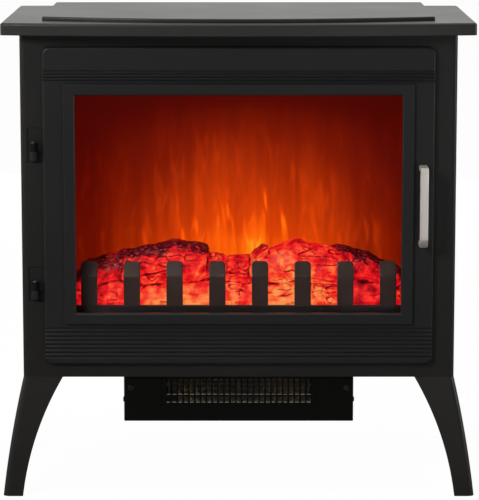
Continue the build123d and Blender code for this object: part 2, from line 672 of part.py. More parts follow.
def pan_screw(shank, head, head_height, length):
    """A pan-head screw along +Z: the head's seat is at z = 0 and the shank goes down from there."""
    with BuildPart() as screw:
        with BuildSketch(Plane.XZ):
            with BuildLine():
                Polyline(
                    (0, head_height),
                    (0, -length),
                    (shank / 2, -length),
                    (shank / 2, 0),
                    (head / 2, 0),
                    (head / 2, head_height / 2),
                    (head / 2 - head_height / 2, head_height),
                    close=True,
                )
            make_face()
        revolve(axis=Axis.Z)
    return screw.part


TURN_FRONT = (90, 0, 0)     # a screw whose head faces the front
TURN_BACK = (-90, 0, 0)
TURN_LEFT = (0, -90, 0)
TURN_RIGHT = (0, 90, 0)
TURN_DOWN = (180, 0, 0)
TURN_UP = (0, 0, 0)


def screws(places, shank, head, head_height, length):
    """Separate equal screws, one at each place given as a position and a turn."""
    one = pan_screw(shank, head, head_height, length)
    with BuildPart() as group:
        with Locations(*[Location(position, turn) for position, turn in places]):
            add(one)
    return group


leg_screws = screws(
    [((x, y, LEG_HEIGHT - LEG_FLANGE), TURN_DOWN) for x, y in LEG_SCREW_PLACES],
    LEG_SCREW,
    LEG_SCREW_HEAD,
    SCREW_HEAD_HEIGHT,
    LEG_FLANGE + SHEET + LEG_SCREW_END,
)

# Door: a pressed tray, open at the back, with fine grooves across it above and below the window
with BuildPart() as door_panel:
    with BuildSketch(facing_front(FRONT - DOOR_GAP)):
        with Locations((0, DOOR_MIDDLE)):
            RectangleRounded(DOOR_WIDTH, DOOR_HEIGHT, DOOR_CORNER)
    extrude(amount=DOOR_DEPTH)
    fillet(door_panel.faces().sort_by(Axis.Y)[0].edges(), DOOR_EDGE)
    offset(amount=-DOOR_SKIN, openings=door_panel.faces().sort_by(Axis.Y)[-1])
    with BuildSketch(facing_front(DOOR_FACE)):
        with Locations((0, BEZEL_MIDDLE)):
            Rectangle(WINDOW_WIDTH, WINDOW_HEIGHT)
        with Locations(*[(HANDLE_X, z) for z in HANDLE_SCREW_PLACES]):
            Circle(HANDLE_SCREW / 2 + SCREW_FIT)
    extrude(amount=-DOOR_SKIN, mode=Mode.SUBTRACT)
    groove_heights = [
        DOOR_BOTTOM + LOWER_GROOVE_START + step * LOWER_GROOVE_PITCH for step in range(LOWER_GROOVES)
    ]
    groove_heights += [
        BEZEL_TOP + UPPER_GROOVE_GAP + step * UPPER_GROOVE_PITCH for step in range(UPPER_GROOVES)
    ]
    with BuildSketch(facing_right(-DOOR_WIDTH / 2)):
        with Locations(*[(DOOR_FACE - GROOVE_RADIUS + GROOVE_DEPTH, z) for z in groove_heights]):
            Circle(GROOVE_RADIUS)
    extrude(amount=DOOR_WIDTH, mode=Mode.SUBTRACT)
    for split_z in HINGE_HEIGHTS.values():
        slot_bottom = split_z + KNUCKLE_SPLIT - LEAF_CLEARANCE
        slot_top = split_z + KNUCKLE_SPLIT + KNUCKLE_HEIGHT + LEAF_CLEARANCE
        slab(
            (-DOOR_WIDTH / 2, -DOOR_WIDTH / 2 + DOOR_EDGE),
            (DOOR_INSIDE, FRONT),
            (slot_bottom, slot_top),
            Mode.SUBTRACT,
        )

# Raised frame round the glass, with a spigot through the door
with BuildPart() as window_bezel:
    with BuildSketch(facing_front(DOOR_FACE)):
        with Locations((0, BEZEL_MIDDLE)):
            Rectangle(BEZEL_WIDTH, BEZEL_HEIGHT)
    extrude(amount=BEZEL_PROUD)
    fillet(window_bezel.edges().group_by(Axis.Y)[0], BEZEL_EDGE)
    with BuildSketch(facing_front(DOOR_FACE)):
        with Locations((0, BEZEL_MIDDLE)):
            Rectangle(WINDOW_WIDTH - 2 * BEZEL_CLEARANCE, WINDOW_HEIGHT - 2 * BEZEL_CLEARANCE)
    extrude(amount=-(DOOR_SKIN + GASKET - BEZEL_CLEARANCE))
    with BuildSketch(facing_front(DOOR_FACE - BEZEL_PROUD)):
        with Locations((0, BEZEL_MIDDLE)):
            Rectangle(BEZEL_WIDTH - 2 * BEZEL_BORDER, BEZEL_HEIGHT - 2 * BEZEL_BORDER)
    extrude(amount=-(BEZEL_PROUD + DOOR_SKIN + GASKET), mode=Mode.SUBTRACT)
    mouth = window_bezel.faces().sort_by(Axis.Y)[0].inner_wires()[0].edges()
    chamfer(mouth, BEZEL_EDGE)

# Gasket, glass and the clips that hold them against the door
with BuildPart() as glass_gasket:
    with BuildSketch(facing_front(DOOR_INSIDE)):
        with Locations((0, BEZEL_MIDDLE)):
            Rectangle(WINDOW_WIDTH + 2 * GASKET_WIDTH, WINDOW_HEIGHT + 2 * GASKET_WIDTH)
            Rectangle(WINDOW_WIDTH, WINDOW_HEIGHT, mode=Mode.SUBTRACT)
    extrude(amount=-GASKET)
with BuildPart() as door_glass:
    with BuildSketch(facing_front(GLASS_FRONT)):
        with Locations((0, BEZEL_MIDDLE)):
            RectangleRounded(GLASS_WIDTH, GLASS_HEIGHT, GLASS_CORNER)
    extrude(amount=-GLASS)


def z_clip(x, edge, outward):
    """The outline of a cranked clip: a foot on the door, a riser past the glass and a grip over it."""
    near = edge + outward * CLIP_CLEARANCE
    riser = near + outward * CLIP_SHEET
    foot = near + outward * CLIP_FOOT
    grip = edge - outward * CLIP_GRIP
    back = GLASS_BACK + CLIP_SHEET
    with BuildPart() as clip:
        with BuildSketch(facing_right(x - CLIP_WIDTH / 2)):
            with BuildLine():
                Polyline(
                    (DOOR_INSIDE, near),
                    (GLASS_BACK, near),
                    (GLASS_BACK, grip),
                    (back, grip),
                    (back, riser),
                    (DOOR_INSIDE + CLIP_SHEET, riser),
                    (DOOR_INSIDE + CLIP_SHEET, foot),
                    (DOOR_INSIDE, foot),
                    close=True,
                )
            make_face()
        extrude(amount=CLIP_WIDTH)
    return clip.part


with BuildPart() as glass_clips:
    for step in (-1, 0, 1):
        add(z_clip(step * CLIP_SPACING, BEZEL_MIDDLE + GLASS_HEIGHT / 2, 1))
        add(z_clip(step * CLIP_SPACING, BEZEL_MIDDLE - GLASS_HEIGHT / 2, -1))

# Strap handle, bent from one bar, and its two screws from behind the door
with BuildPart() as door_handle:
    handle_middle = DOOR_FACE - HANDLE_REACH / 2
    with BuildSketch(facing_right(HANDLE_X - HANDLE_WIDTH / 2)) as strap:
        with Locations((handle_middle, HANDLE_Z)):
            Rectangle(HANDLE_REACH, HANDLE_LENGTH)
        fillet(strap.vertices().group_by(Axis.Y)[0], HANDLE_BEND)
        with BuildSketch(mode=Mode.SUBTRACT) as finger_room:
            with Locations((handle_middle + HANDLE_THICKNESS, HANDLE_Z)):
                Rectangle(HANDLE_REACH, HANDLE_LENGTH - 2 * HANDLE_THICKNESS)
            fillet(finger_room.vertices().group_by(Axis.Y)[0], HANDLE_BEND - HANDLE_THICKNESS)
    extrude(amount=HANDLE_WIDTH)
    long_edges = door_handle.faces().filter_by(Axis.X).edges()
    seat_edges = door_handle.edges().group_by(Axis.Y)[-1]
    fillet(long_edges - seat_edges, HANDLE_EDGE)
    with BuildSketch(facing_front(DOOR_FACE)):
        with Locations(*[(HANDLE_X, z) for z in HANDLE_SCREW_PLACES]):
            Circle(HANDLE_SCREW / 2 + SCREW_FIT)
    extrude(amount=HANDLE_SCREW_DEPTH, mode=Mode.SUBTRACT)
handle_screws = screws(
    [((HANDLE_X, DOOR_INSIDE, z), TURN_BACK) for z in HANDLE_SCREW_PLACES],
    HANDLE_SCREW,
    HANDLE_SCREW_HEAD,
    SCREW_HEAD_HEIGHT,
    DOOR_SKIN + HANDLE_SCREW_DEPTH - SCREW_END_GAP,
)


def knuckle(bottom):
    """A hinge knuckle on the pin's axis with its bore."""
    with BuildPart() as barrel:
        with BuildSketch(Plane.XY.offset(bottom)):
            with Locations((HINGE_X, HINGE_Y)):
                Circle(KNUCKLE / 2)
        extrude(amount=KNUCKLE_HEIGHT)
    return barrel.part


def pin_bore(bottom):
    """The bore of a knuckle, to be cut after its leaf has been joined to it."""
    with BuildPart() as bore:
        with BuildSketch(Plane.XY.offset(bottom)):
            with Locations((HINGE_X, HINGE_Y)):
                Circle(HINGE_PIN / 2 + PIN_FIT)
        extrude(amount=KNUCKLE_HEIGHT)
    return bore.part


def body_hinge_leaf(split_z):
    """The fixed half: a plate behind the notch, a web through it and the lower knuckle."""
    with BuildPart() as leaf:
        with BuildSketch(facing_front(FRONT + SHEET)):
            left = -HALF_BODY + BEND_RADIUS
            right = HINGE_X + NOTCH_RIGHT + LEAF_MARGIN
            height = NOTCH_BELOW + NOTCH_ABOVE + 2 * LEAF_MARGIN
            with Locations(((left + right) / 2, split_z + (NOTCH_ABOVE - NOTCH_BELOW) / 2)):
                Rectangle(right - left, height)
        extrude(amount=-HINGE_LEAF)
        slab(
            (HINGE_X - HINGE_WEB / 2, HINGE_X + HINGE_WEB / 2),
            (HINGE_Y, FRONT + SHEET),
            (split_z - KNUCKLE_HEIGHT, split_z),
        )
        add(knuckle(split_z - KNUCKLE_HEIGHT))
        add(pin_bore(split_z - KNUCKLE_HEIGHT), mode=Mode.SUBTRACT)
    return leaf


def door_hinge_leaf(split_z):
    """The moving half: the upper knuckle, a neck through the door's rim and a pad behind its skin."""
    bottom = split_z + KNUCKLE_SPLIT
    with BuildPart() as leaf:
        with BuildSketch(facing_front(DOOR_INSIDE)):
            neck_end = HINGE_X + DOOR_LEAF_REACH
            pad_start = -DOOR_WIDTH / 2 + DOOR_EDGE + LEAF_CLEARANCE
            with Locations(((HINGE_X + neck_end) / 2, bottom + KNUCKLE_HEIGHT / 2)):
                Rectangle(neck_end - HINGE_X, KNUCKLE_HEIGHT)
            with Locations(((pad_start + neck_end) / 2, bottom + KNUCKLE_HEIGHT / 2)):
                Rectangle(neck_end - pad_start, DOOR_LEAF_PAD)
        extrude(amount=-HINGE_LEAF)
        add(knuckle(bottom))
        add(pin_bore(bottom), mode=Mode.SUBTRACT)
    return leaf


def hinge_pin(split_z):
    """The pin with its domed head on top."""
    bottom = split_z - KNUCKLE_HEIGHT - PIN_TAIL
    seat = split_z + KNUCKLE_SPLIT + KNUCKLE_HEIGHT + HEAD_GAP
    dome_radius = ((HINGE_HEAD / 2) ** 2 + HINGE_HEAD_HEIGHT**2) / (2 * HINGE_HEAD_HEIGHT)
    with BuildPart() as pin:
        with BuildSketch(Plane(origin=(HINGE_X, HINGE_Y, 0), x_dir=(1, 0, 0), z_dir=(0, -1, 0))):
            with BuildLine():
                Polyline(
                    (0, seat + HINGE_HEAD_HEIGHT),
                    (0, bottom),
                    (HINGE_PIN / 2, bottom),
                    (HINGE_PIN / 2, seat),
                    (HINGE_HEAD / 2, seat),
                )
                RadiusArc((HINGE_HEAD / 2, seat), (0, seat + HINGE_HEAD_HEIGHT), -dome_radius)
            make_face()
        revolve(axis=Axis((HINGE_X, HINGE_Y, 0), (0, 0, 1)))
    return pin


hinge_leaf_body_upper = body_hinge_leaf(HINGE_HEIGHTS["upper"])
hinge_leaf_body_lower = body_hinge_leaf(HINGE_HEIGHTS["lower"])
hinge_leaf_door_upper = door_hinge_leaf(HINGE_HEIGHTS["upper"])
hinge_leaf_door_lower = door_hinge_leaf(HINGE_HEIGHTS["lower"])
hinge_pin_upper = hinge_pin(HINGE_HEIGHTS["upper"])
hinge_pin_lower = hinge_pin(HINGE_HEIGHTS["lower"])

# Strike plate on the door, cranked to meet the magnet, and the magnet catch in the opening
opening_side = OPENING_WIDTH / 2
with BuildPart() as strike_plate:
    strike_back = GLASS_BACK + CLIP_SHEET
    strike_riser = opening_side - STRIKE_CLEARANCE
    with BuildSketch(Plane.XY.offset(HANDLE_Z - CATCH_HEIGHT / 2)):
        with BuildLine():
            Polyline(
                (strike_riser + CLIP_FOOT, DOOR_INSIDE),
                (strike_riser - CLIP_SHEET, DOOR_INSIDE),
                (strike_riser - CLIP_SHEET, GLASS_BACK),
                (opening_side - CATCH_WIDTH, GLASS_BACK),
                (opening_side - CATCH_WIDTH, strike_back),
                (strike_riser, strike_back),
                (strike_riser, DOOR_INSIDE + CLIP_SHEET),
                (strike_riser + CLIP_FOOT, DOOR_INSIDE + CLIP_SHEET),
                close=True,
            )
        make_face()
    extrude(amount=CATCH_HEIGHT)
with BuildPart() as magnet_catch:
    catch_front = GLASS_BACK + CLIP_SHEET + CATCH_GAP
    with BuildSketch(facing_front(catch_front + CATCH_POLE)):
        with Locations((opening_side - CATCH_WIDTH / 2, HANDLE_Z)):
            RectangleRounded(CATCH_WIDTH, CATCH_HEIGHT, CATCH_CORNER)
    extrude(amount=-(RIM_BACK - catch_front - CATCH_POLE))
    with BuildSketch(facing_front(catch_front + CATCH_POLE)):
        with Locations((opening_side - CATCH_WIDTH / 2, HANDLE_Z)):
            with GridLocations(CATCH_WIDTH / 2, 1, 2, 1):
                Rectangle(CATCH_POLE, CATCH_HEIGHT - 4 * CATCH_CORNER)
    extrude(amount=CATCH_POLE)

# Lining of the firebox
with BuildPart() as firebox_wall_left:
    lining_back = SCREEN_FRONT + SCREEN_THICKNESS
    with BuildSketch(Plane.XY.offset(FLOOR_Z)):
        with BuildLine():
            Polyline(
                (-HALF_FIREBOX, RIM_BACK),
                (-HALF_FIREBOX - WALL_FLANGE, RIM_BACK),
                (-HALF_FIREBOX - WALL_FLANGE, RIM_BACK + FIREBOX_SHEET),
                (-HALF_FIREBOX - FIREBOX_SHEET, RIM_BACK + FIREBOX_SHEET),
                (-HALF_FIREBOX - FIREBOX_SHEET, lining_back),
                (-HALF_FIREBOX, lining_back),
                close=True,
            )
        make_face()
    extrude(amount=CEILING_Z - FLOOR_Z)
with BuildPart() as firebox_wall_right:
    mirror(firebox_wall_left.part, about=Plane.YZ)
with BuildPart() as firebox_ceiling:
    flange_top = OPENING_BOTTOM + OPENING_HEIGHT + SHEET + WALL_FLANGE_LAP
    half_flange = HALF_FIREBOX + WALL_FLANGE
    slab(
        (-HALF_FIREBOX - FIREBOX_SHEET, HALF_FIREBOX + FIREBOX_SHEET),
        (RIM_BACK, lining_back),
        (CEILING_Z, CEILING_Z + FIREBOX_SHEET),
    )
    slab((-half_flange, half_flange), (RIM_BACK, RIM_BACK + FIREBOX_SHEET), (CEILING_Z, flange_top))
with BuildPart() as firebox_floor:
    half_floor = HALF_BODY - 2 * SHEET
    with BuildSketch(facing_front(RIM_BACK)):
        with BuildLine():
            Polyline(
                (-half_floor, FLOOR_Z),
                (-half_floor, FLOOR_Z - FLOOR_FLANGE),
                (-half_floor + FIREBOX_SHEET, FLOOR_Z - FLOOR_FLANGE),
                (-half_floor + FIREBOX_SHEET, FLOOR_Z - FIREBOX_SHEET),
                (half_floor - FIREBOX_SHEET, FLOOR_Z - FIREBOX_SHEET),
                (half_floor - FIREBOX_SHEET, FLOOR_Z - FLOOR_FLANGE),
                (half_floor, FLOOR_Z - FLOOR_FLANGE),
                (half_floor, FLOOR_Z),
                close=True,
            )
        make_face()
    extrude(amount=-(BACK - 2 * SHEET - RIM_BACK))
with BuildPart() as flame_screen:
    slab((-HALF_FIREBOX, HALF_FIREBOX), (SCREEN_FRONT, lining_back), (FLOOR_Z, CEILING_Z))

# Grate: flat bars with leaning, rounded tips on a rail
bar_front = FRONT + GRATE_SETBACK
with BuildPart() as grate_bar:
    tip_shift = (BAR_HEIGHT - BAR_BEND_HEIGHT) * tan(radians(BAR_LEAN))
    with BuildSketch(facing_right(-BAR_WIDTH / 2)):
        with BuildLine():
            Polyline(
                (bar_front, FLOOR_Z),
                (bar_front, FLOOR_Z + BAR_BEND_HEIGHT),
                (bar_front + tip_shift, FLOOR_Z + BAR_HEIGHT),
                (bar_front + tip_shift + BAR_THICKNESS, FLOOR_Z + BAR_HEIGHT),
                (bar_front + BAR_THICKNESS, FLOOR_Z + BAR_BEND_HEIGHT),
                (bar_front + BAR_THICKNESS, FLOOR_Z),
                close=True,
            )
        make_face()
    extrude(amount=BAR_WIDTH)
    fillet(grate_bar.edges().filter_by(Axis.Y).group_by(Axis.Z)[-1], BAR_TIP_RADIUS)
with BuildPart() as grate:
    rail_half = HALF_FIREBOX - RAIL_GAP
    bar_pitch = (2 * (rail_half - RAIL_END) - BAR_WIDTH) / (BAR_COUNT - 1)
    with GridLocations(bar_pitch, 1, BAR_COUNT, 1):
        add(grate_bar.part)
    rail_front = bar_front + (BAR_THICKNESS - RAIL_DEPTH) / 2
    slab((-rail_half, rail_half), (rail_front, rail_front + RAIL_DEPTH), (FLOOR_Z, FLOOR_Z + RAIL_HEIGHT))


def log_form(stations):
    """One log, lofted through ridged sections at its stations along X."""
    with BuildPart() as log:
        for turn, (x, height, setback, radius) in enumerate(stations):
            with BuildSketch(facing_right(x)):
                with BuildLine():
                    corners = []
                    for side in range(LOG_SIDES):
                        angle = 2 * pi * side / LOG_SIDES
                        reach = radius * (1 + BARK_RIDGE * cos(LOG_SIDES // 2 * angle + turn))
                        corners.append(
                            (
                                LOG_FRONT + setback + reach * cos(angle),
                                FLOOR_Z + height + reach * sin(angle),
                            )
                        )
                    Polyline(*corners, close=True)
                make_face()
        loft(ruled=True)
    return log.part


# Log bed: one moulding, an ember mound with five logs on it, hollow underneath for its lamps
with BuildPart() as log_bed:
    for step in range(EMBER_SECTIONS):
        share = step / (EMBER_SECTIONS - 1)
        crest = EMBER_HEIGHT - EMBER_SWELL * cos(2 * pi * EMBER_WAVES * share)
        with BuildSketch(facing_right(HALF_LOG_BED * (2 * share - 1))):
            with BuildLine():
                front_top = (LOG_FRONT, FLOOR_Z + EMBER_FRONT)
                crest_top = (LOG_FRONT + LOG_DEPTH / 2, FLOOR_Z + crest)
                back_top = (LOG_FRONT + LOG_DEPTH, FLOOR_Z + EMBER_BACK)
                ThreePointArc(front_top, crest_top, back_top)
                Polyline(
                    back_top,
                    (LOG_FRONT + LOG_DEPTH, FLOOR_Z),
                    (LOG_FRONT, FLOOR_Z),
                    front_top,
                )
            make_face()
    loft()
    for stations in LOGS.values():
        add(log_form(stations))
    slab(
        (-HALF_LOG_BED + EMBER_WALL, HALF_LOG_BED - EMBER_WALL),
        (LOG_FRONT + EMBER_WALL, LOG_FRONT + LOG_DEPTH - EMBER_WALL),
        (FLOOR_Z, FLOOR_Z + EMBER_HOLLOW),
        Mode.SUBTRACT,
    )


def led_board(y, length):
    """A narrow circuit board on the firebox floor with a row of lamps."""
    with BuildPart() as board:
        with BuildSketch(Plane.XY.offset(FLOOR_Z)):
            with Locations((0, y)):
                RectangleRounded(length, LED_BOARD_WIDTH, LED_BOARD_CORNER)
        extrude(amount=LED_BOARD_THICKNESS)
        with BuildSketch(Plane.XY.offset(FLOOR_Z + LED_BOARD_THICKNESS)):
            with Locations((0, y)):
                with GridLocations((length - LED_BOARD_WIDTH) / (LED_COUNT - 1), 1, LED_COUNT, 1):
                    Rectangle(LED_SIZE, LED_SIZE)
        extrude(amount=LED_HEIGHT)
    return board


ember_led_board = led_board(LOG_FRONT + LOG_DEPTH / 2, LED_BOARD_LENGTH)
flame_led_board = led_board(FRONT + FLAME_LED_SETBACK, LED_BOARD_LENGTH)

# Flame spindle: a rod with bright flags set round it in a spiral
with BuildPart() as flame_spindle:
    half_spindle = SPINDLE_LENGTH / 2
    with BuildSketch(Plane(origin=(0, SPINDLE_Y, SPINDLE_Z), x_dir=(1, 0, 0), z_dir=(0, -1, 0))):
        with BuildLine():
            Polyline(
                (-half_spindle - JOURNAL_LENGTH, 0),
                (-half_spindle - JOURNAL_LENGTH, SPINDLE_JOURNAL / 2),
                (-half_spindle, SPINDLE_JOURNAL / 2),
                (-half_spindle, SPINDLE_ROD / 2),
                (half_spindle, SPINDLE_ROD / 2),
                (half_spindle, SPINDLE_JOURNAL / 2),
                (half_spindle + JOURNAL_LENGTH, SPINDLE_JOURNAL / 2),
                (half_spindle + JOURNAL_LENGTH, 0),
                close=True,
            )
        make_face()
    revolve(axis=Axis((0, SPINDLE_Y, SPINDLE_Z), (1, 0, 0)))
    flag_step = SPINDLE_LENGTH / FLAG_COUNT
    for step in range(FLAG_COUNT):
        flag_x = -half_spindle + (step + 0.5) * flag_step
        with Locations(Location((flag_x, SPINDLE_Y, SPINDLE_Z), (step * FLAG_TWIST, 0, 0))):
            Box(FLAG_WIDTH, FLAG_SHEET, FLAG_SPAN)


def spindle_bracket(side):
    """A bent bracket with a foot on the floor and a hole for the spindle's journal."""
    inside = side * (half_spindle + SPINDLE_PLAY)
    outside = inside + side * BRACKET_SHEET
    with BuildPart() as bracket:
        with BuildSketch(facing_front(SPINDLE_Y + BRACKET_WIDTH / 2)):
            with BuildLine():
                Polyline(
                    (inside, FLOOR_Z),
                    (inside, SPINDLE_Z + BRACKET_HEAD),
                    (outside, SPINDLE_Z + BRACKET_HEAD),
                    (outside, FLOOR_Z + BRACKET_SHEET),
                    (inside + side * BRACKET_FOOT, FLOOR_Z + BRACKET_SHEET),
                    (inside + side * BRACKET_FOOT, FLOOR_Z),
                    close=True,
                )
            make_face()
        extrude(amount=BRACKET_WIDTH)
        with BuildSketch(facing_right(min(inside, outside))):
            with Locations((SPINDLE_Y, SPINDLE_Z)):
                Circle(SPINDLE_JOURNAL / 2 + PIN_FIT)
        extrude(amount=BRACKET_SHEET, mode=Mode.SUBTRACT)
    return bracket.part


with BuildPart() as spindle_brackets:
    add(spindle_bracket(-1))
    add(spindle_bracket(1))
with BuildPart() as spindle_motor:
    motor_start = half_spindle + SPINDLE_PLAY + BRACKET_SHEET
    with BuildSketch(facing_right(motor_start)):
        with Locations((SPINDLE_Y, SPINDLE_Z)):
            Circle(MOTOR_DIAMETER / 2)
    extrude(amount=MOTOR_LENGTH)
    fillet(spindle_motor.edges().group_by(Axis.X)[-1], MOTOR_EDGE)
    with BuildSketch(facing_right(motor_start)):
        with Locations((SPINDLE_Y, SPINDLE_Z)):
            Circle(SPINDLE_JOURNAL / 2 + PIN_FIT)
    extrude(amount=JOURNAL_LENGTH, mode=Mode.SUBTRACT)

# Heater box: a folded tray under the base plate with the air outlet in front and inlet slots below
with BuildPart() as heater_box:
    heater_middle = HEATER_FRONT + HEATER_DEPTH / 2
    with BuildSketch(Plane.XY.offset(HEATER_BOTTOM)):
        with Locations((0, heater_middle)):
            Rectangle(HEATER_WIDTH, HEATER_DEPTH)
    extrude(amount=HEATER_DROP)
    fillet(heater_box.edges().filter_by(Axis.Z), HEATER_CORNER)
    offset(amount=-HEATER_SHEET, openings=heater_box.faces().sort_by(Axis.Z)[-1])
    for side in (-1, 1):
        wall = side * (HEATER_WIDTH / 2 - HEATER_SHEET)
        slab(
            (wall, wall - side * HEATER_FLANGE),
            (GUARD_BACK + GUARD_CLEARANCE, HEATER_FRONT + HEATER_DEPTH - HEATER_CORNER),
            (LEG_HEIGHT - HEATER_SHEET, LEG_HEIGHT),
        )
    outlet_height = HEATER_DROP - OUTLET_SILL
    with BuildSketch(facing_front(HEATER_FRONT)):
        with Locations((0, LEG_HEIGHT - outlet_height / 2)):
            Rectangle(OUTLET_WIDTH, outlet_height)
        with Locations(*[(side * HEATER_SCREW_X, HEATER_SCREW_Z) for side in (-1, 1)]):
            Circle(SCREW / 2 + SCREW_FIT)
    extrude(amount=-HEATER_SHEET, mode=Mode.SUBTRACT)
    with BuildSketch(Plane.XY.offset(HEATER_BOTTOM)):
        with Locations((0, FAN_Y)):
            with GridLocations(INLET_SLOT_PITCH, 1, INLET_SLOTS, 1):
                SlotOverall(INLET_SLOT_LENGTH, INLET_SLOT_WIDTH, rotation=90)
    extrude(amount=HEATER_SHEET, mode=Mode.SUBTRACT)
    with BuildSketch(facing_right(-HEATER_WIDTH / 2)):
        with Locations((HEATER_SIDE_SCREW_Y, HEATER_SIDE_SCREW_Z)):
            Circle(SCREW / 2 + SCREW_FIT)
    extrude(amount=HEATER_WIDTH, mode=Mode.SUBTRACT)
    with BuildSketch(Plane.XY.offset(LEG_HEIGHT)):
        with Locations(*HEATER_BASE_SCREWS):
            Circle(SCREW / 2 + SCREW_FIT)
    extrude(amount=-HEATER_SHEET, mode=Mode.SUBTRACT)

# Slotted guard behind the outlet
with BuildPart() as outlet_guard:
    guard_bottom = HEATER_BOTTOM + OUTLET_SILL - GUARD_LAP
    guard_width = HEATER_WIDTH - 2 * HEATER_CORNER - 2 * GUARD_CLEARANCE
    short_middle = HEATER_BOTTOM + OUTLET_SILL + GUARD_FIRST + GUARD_SHORT_SLOT / 2
    tall_middle = short_middle + (GUARD_SHORT_SLOT + GUARD_TALL_SLOT) / 2 + GUARD_BAR
    with BuildSketch(facing_front(HEATER_FRONT + HEATER_SHEET)):
        with Locations((0, (guard_bottom + LEG_HEIGHT) / 2)):
            Rectangle(guard_width, LEG_HEIGHT - guard_bottom)
        with Locations((0, short_middle)):
            with GridLocations(GUARD_PITCH, 1, GUARD_SLOTS, 1):
                Rectangle(GUARD_SLOT_WIDTH, GUARD_SHORT_SLOT, mode=Mode.SUBTRACT)
        with Locations((0, tall_middle)):
            with GridLocations(GUARD_PITCH, 1, GUARD_SLOTS, 1):
                Rectangle(GUARD_SLOT_WIDTH, GUARD_TALL_SLOT, mode=Mode.SUBTRACT)
        with Locations(*[(side * HEATER_SCREW_X, HEATER_SCREW_Z) for side in (-1, 1)]):
            Circle(SCREW / 2 + SCREW_FIT, mode=Mode.SUBTRACT)
    extrude(amount=-GUARD_SHEET)

# Heating element: a mica frame and one zigzag wire between its strips
mica_front = WIRE_Y - MICA_DEPTH / 2
mica_back = WIRE_Y + MICA_DEPTH / 2
strip_top = HEATER_BOTTOM + OUTLET_SILL
with BuildPart() as element_frame:
    half_element = ELEMENT_WIDTH / 2
    floor_z = HEATER_BOTTOM + HEATER_SHEET
    for side in (-1, 1):
        slab(
            (side * half_element, side * (half_element + MICA)),
            (mica_front, mica_back),
            (floor_z, LEG_HEIGHT),
        )
    slab((-half_element, half_element), (mica_front, mica_back), (strip_top - MICA, strip_top))
    slab((-half_element, half_element), (mica_front, mica_back), (LEG_HEIGHT - MICA, LEG_HEIGHT))
with BuildPart() as heating_wire:
    bend = WIRE_PITCH / 2
    low = strip_top + WIRE_SEAT + WIRE / 2
    high = LEG_HEIGHT - MICA - WIRE_SEAT - WIRE / 2
    first_run = -(WIRE_RUNS - 1) * WIRE_PITCH / 2
    with BuildLine(facing_front(WIRE_Y)) as wire_path:
        Line((first_run, strip_top + WIRE_SEAT), (first_run, high - bend))
        for run in range(1, WIRE_RUNS):
            here = first_run + run * WIRE_PITCH
            upward = run % 2 == 0
            turn_z = low + bend if upward else high - bend
            peak = low if upward else high
            ThreePointArc((here - WIRE_PITCH, turn_z), (here - bend, peak), (here, turn_z))
            if run == WIRE_RUNS - 1:
                far = strip_top + WIRE_SEAT
            else:
                far = high - bend if upward else low + bend
            Line((here, turn_z), (here, far))
    with BuildSketch(Plane(origin=(first_run, WIRE_Y, strip_top + WIRE_SEAT), z_dir=(0, 0, 1))):
        RegularPolygon(WIRE / 2, WIRE_SIDES)
    sweep(path=wire_path.wires()[0])


def least_gap(path, thickness, samples):
    """The least distance of a tube from itself, on points that are further apart along it."""
    spots = [path @ (step / samples) for step in range(samples + 1)]
    spacing = path.length / samples
    skip = int(3 * WIRE_PITCH / spacing)
    gaps = [
        (spots[one] - spots[other]).length
        for one in range(samples + 1)
        for other in range(one + skip, samples + 1)
    ]
    return min(gaps) - thickness


print("heating wire, least gap to itself:", round(least_gap(wire_path.wires()[0], WIRE, WIRE_SAMPLES), 2), "mm")

# Tangential fan: curved blades between discs on a shaft
scroll_half = FAN_LENGTH / 2 + SCROLL_END_GAP
scroll_end = scroll_half + SCROLL_SHEET
with BuildPart() as fan_rotor:
    blade_outer = FAN_DIAMETER / 2
    blade_inner = blade_outer - BLADE_DEPTH
    with BuildSketch(facing_right(-FAN_LENGTH / 2)) as blade_ring:
        with BuildSketch(mode=Mode.PRIVATE) as blade:
            with BuildLine():
                ThreePointArc(
                    (blade_inner, 0),
                    ((blade_inner + blade_outer) / 2, BLADE_CAMBER),
                    (blade_outer - BLADE_THICKNESS, 0),
                )
                Line((blade_outer - BLADE_THICKNESS, 0), (blade_outer - BLADE_THICKNESS, BLADE_THICKNESS))
                ThreePointArc(
                    (blade_outer - BLADE_THICKNESS, BLADE_THICKNESS),
                    ((blade_inner + blade_outer) / 2, BLADE_CAMBER + BLADE_THICKNESS),
                    (blade_inner, BLADE_THICKNESS),
                )
                Line((blade_inner, BLADE_THICKNESS), (blade_inner, 0))
            make_face()
        with Locations((FAN_Y, FAN_Z)):
            with PolarLocations(0, FAN_BLADES):
                add(blade.sketch)
    extrude(amount=FAN_LENGTH)
    for disc_start in (-FAN_LENGTH / 2, -FAN_DISC / 2, FAN_LENGTH / 2 - FAN_DISC):
        with BuildSketch(facing_right(disc_start)):
            with Locations((FAN_Y, FAN_Z)):
                Circle(blade_outer)
        extrude(amount=FAN_DISC)
    with BuildSketch(facing_right(-scroll_end - BUSH_LENGTH)):
        with Locations((FAN_Y, FAN_Z)):
            Circle(FAN_SHAFT / 2)
    extrude(amount=2 * scroll_end + BUSH_LENGTH + FAN_MOTOR_BORE - SCREW_END_GAP)

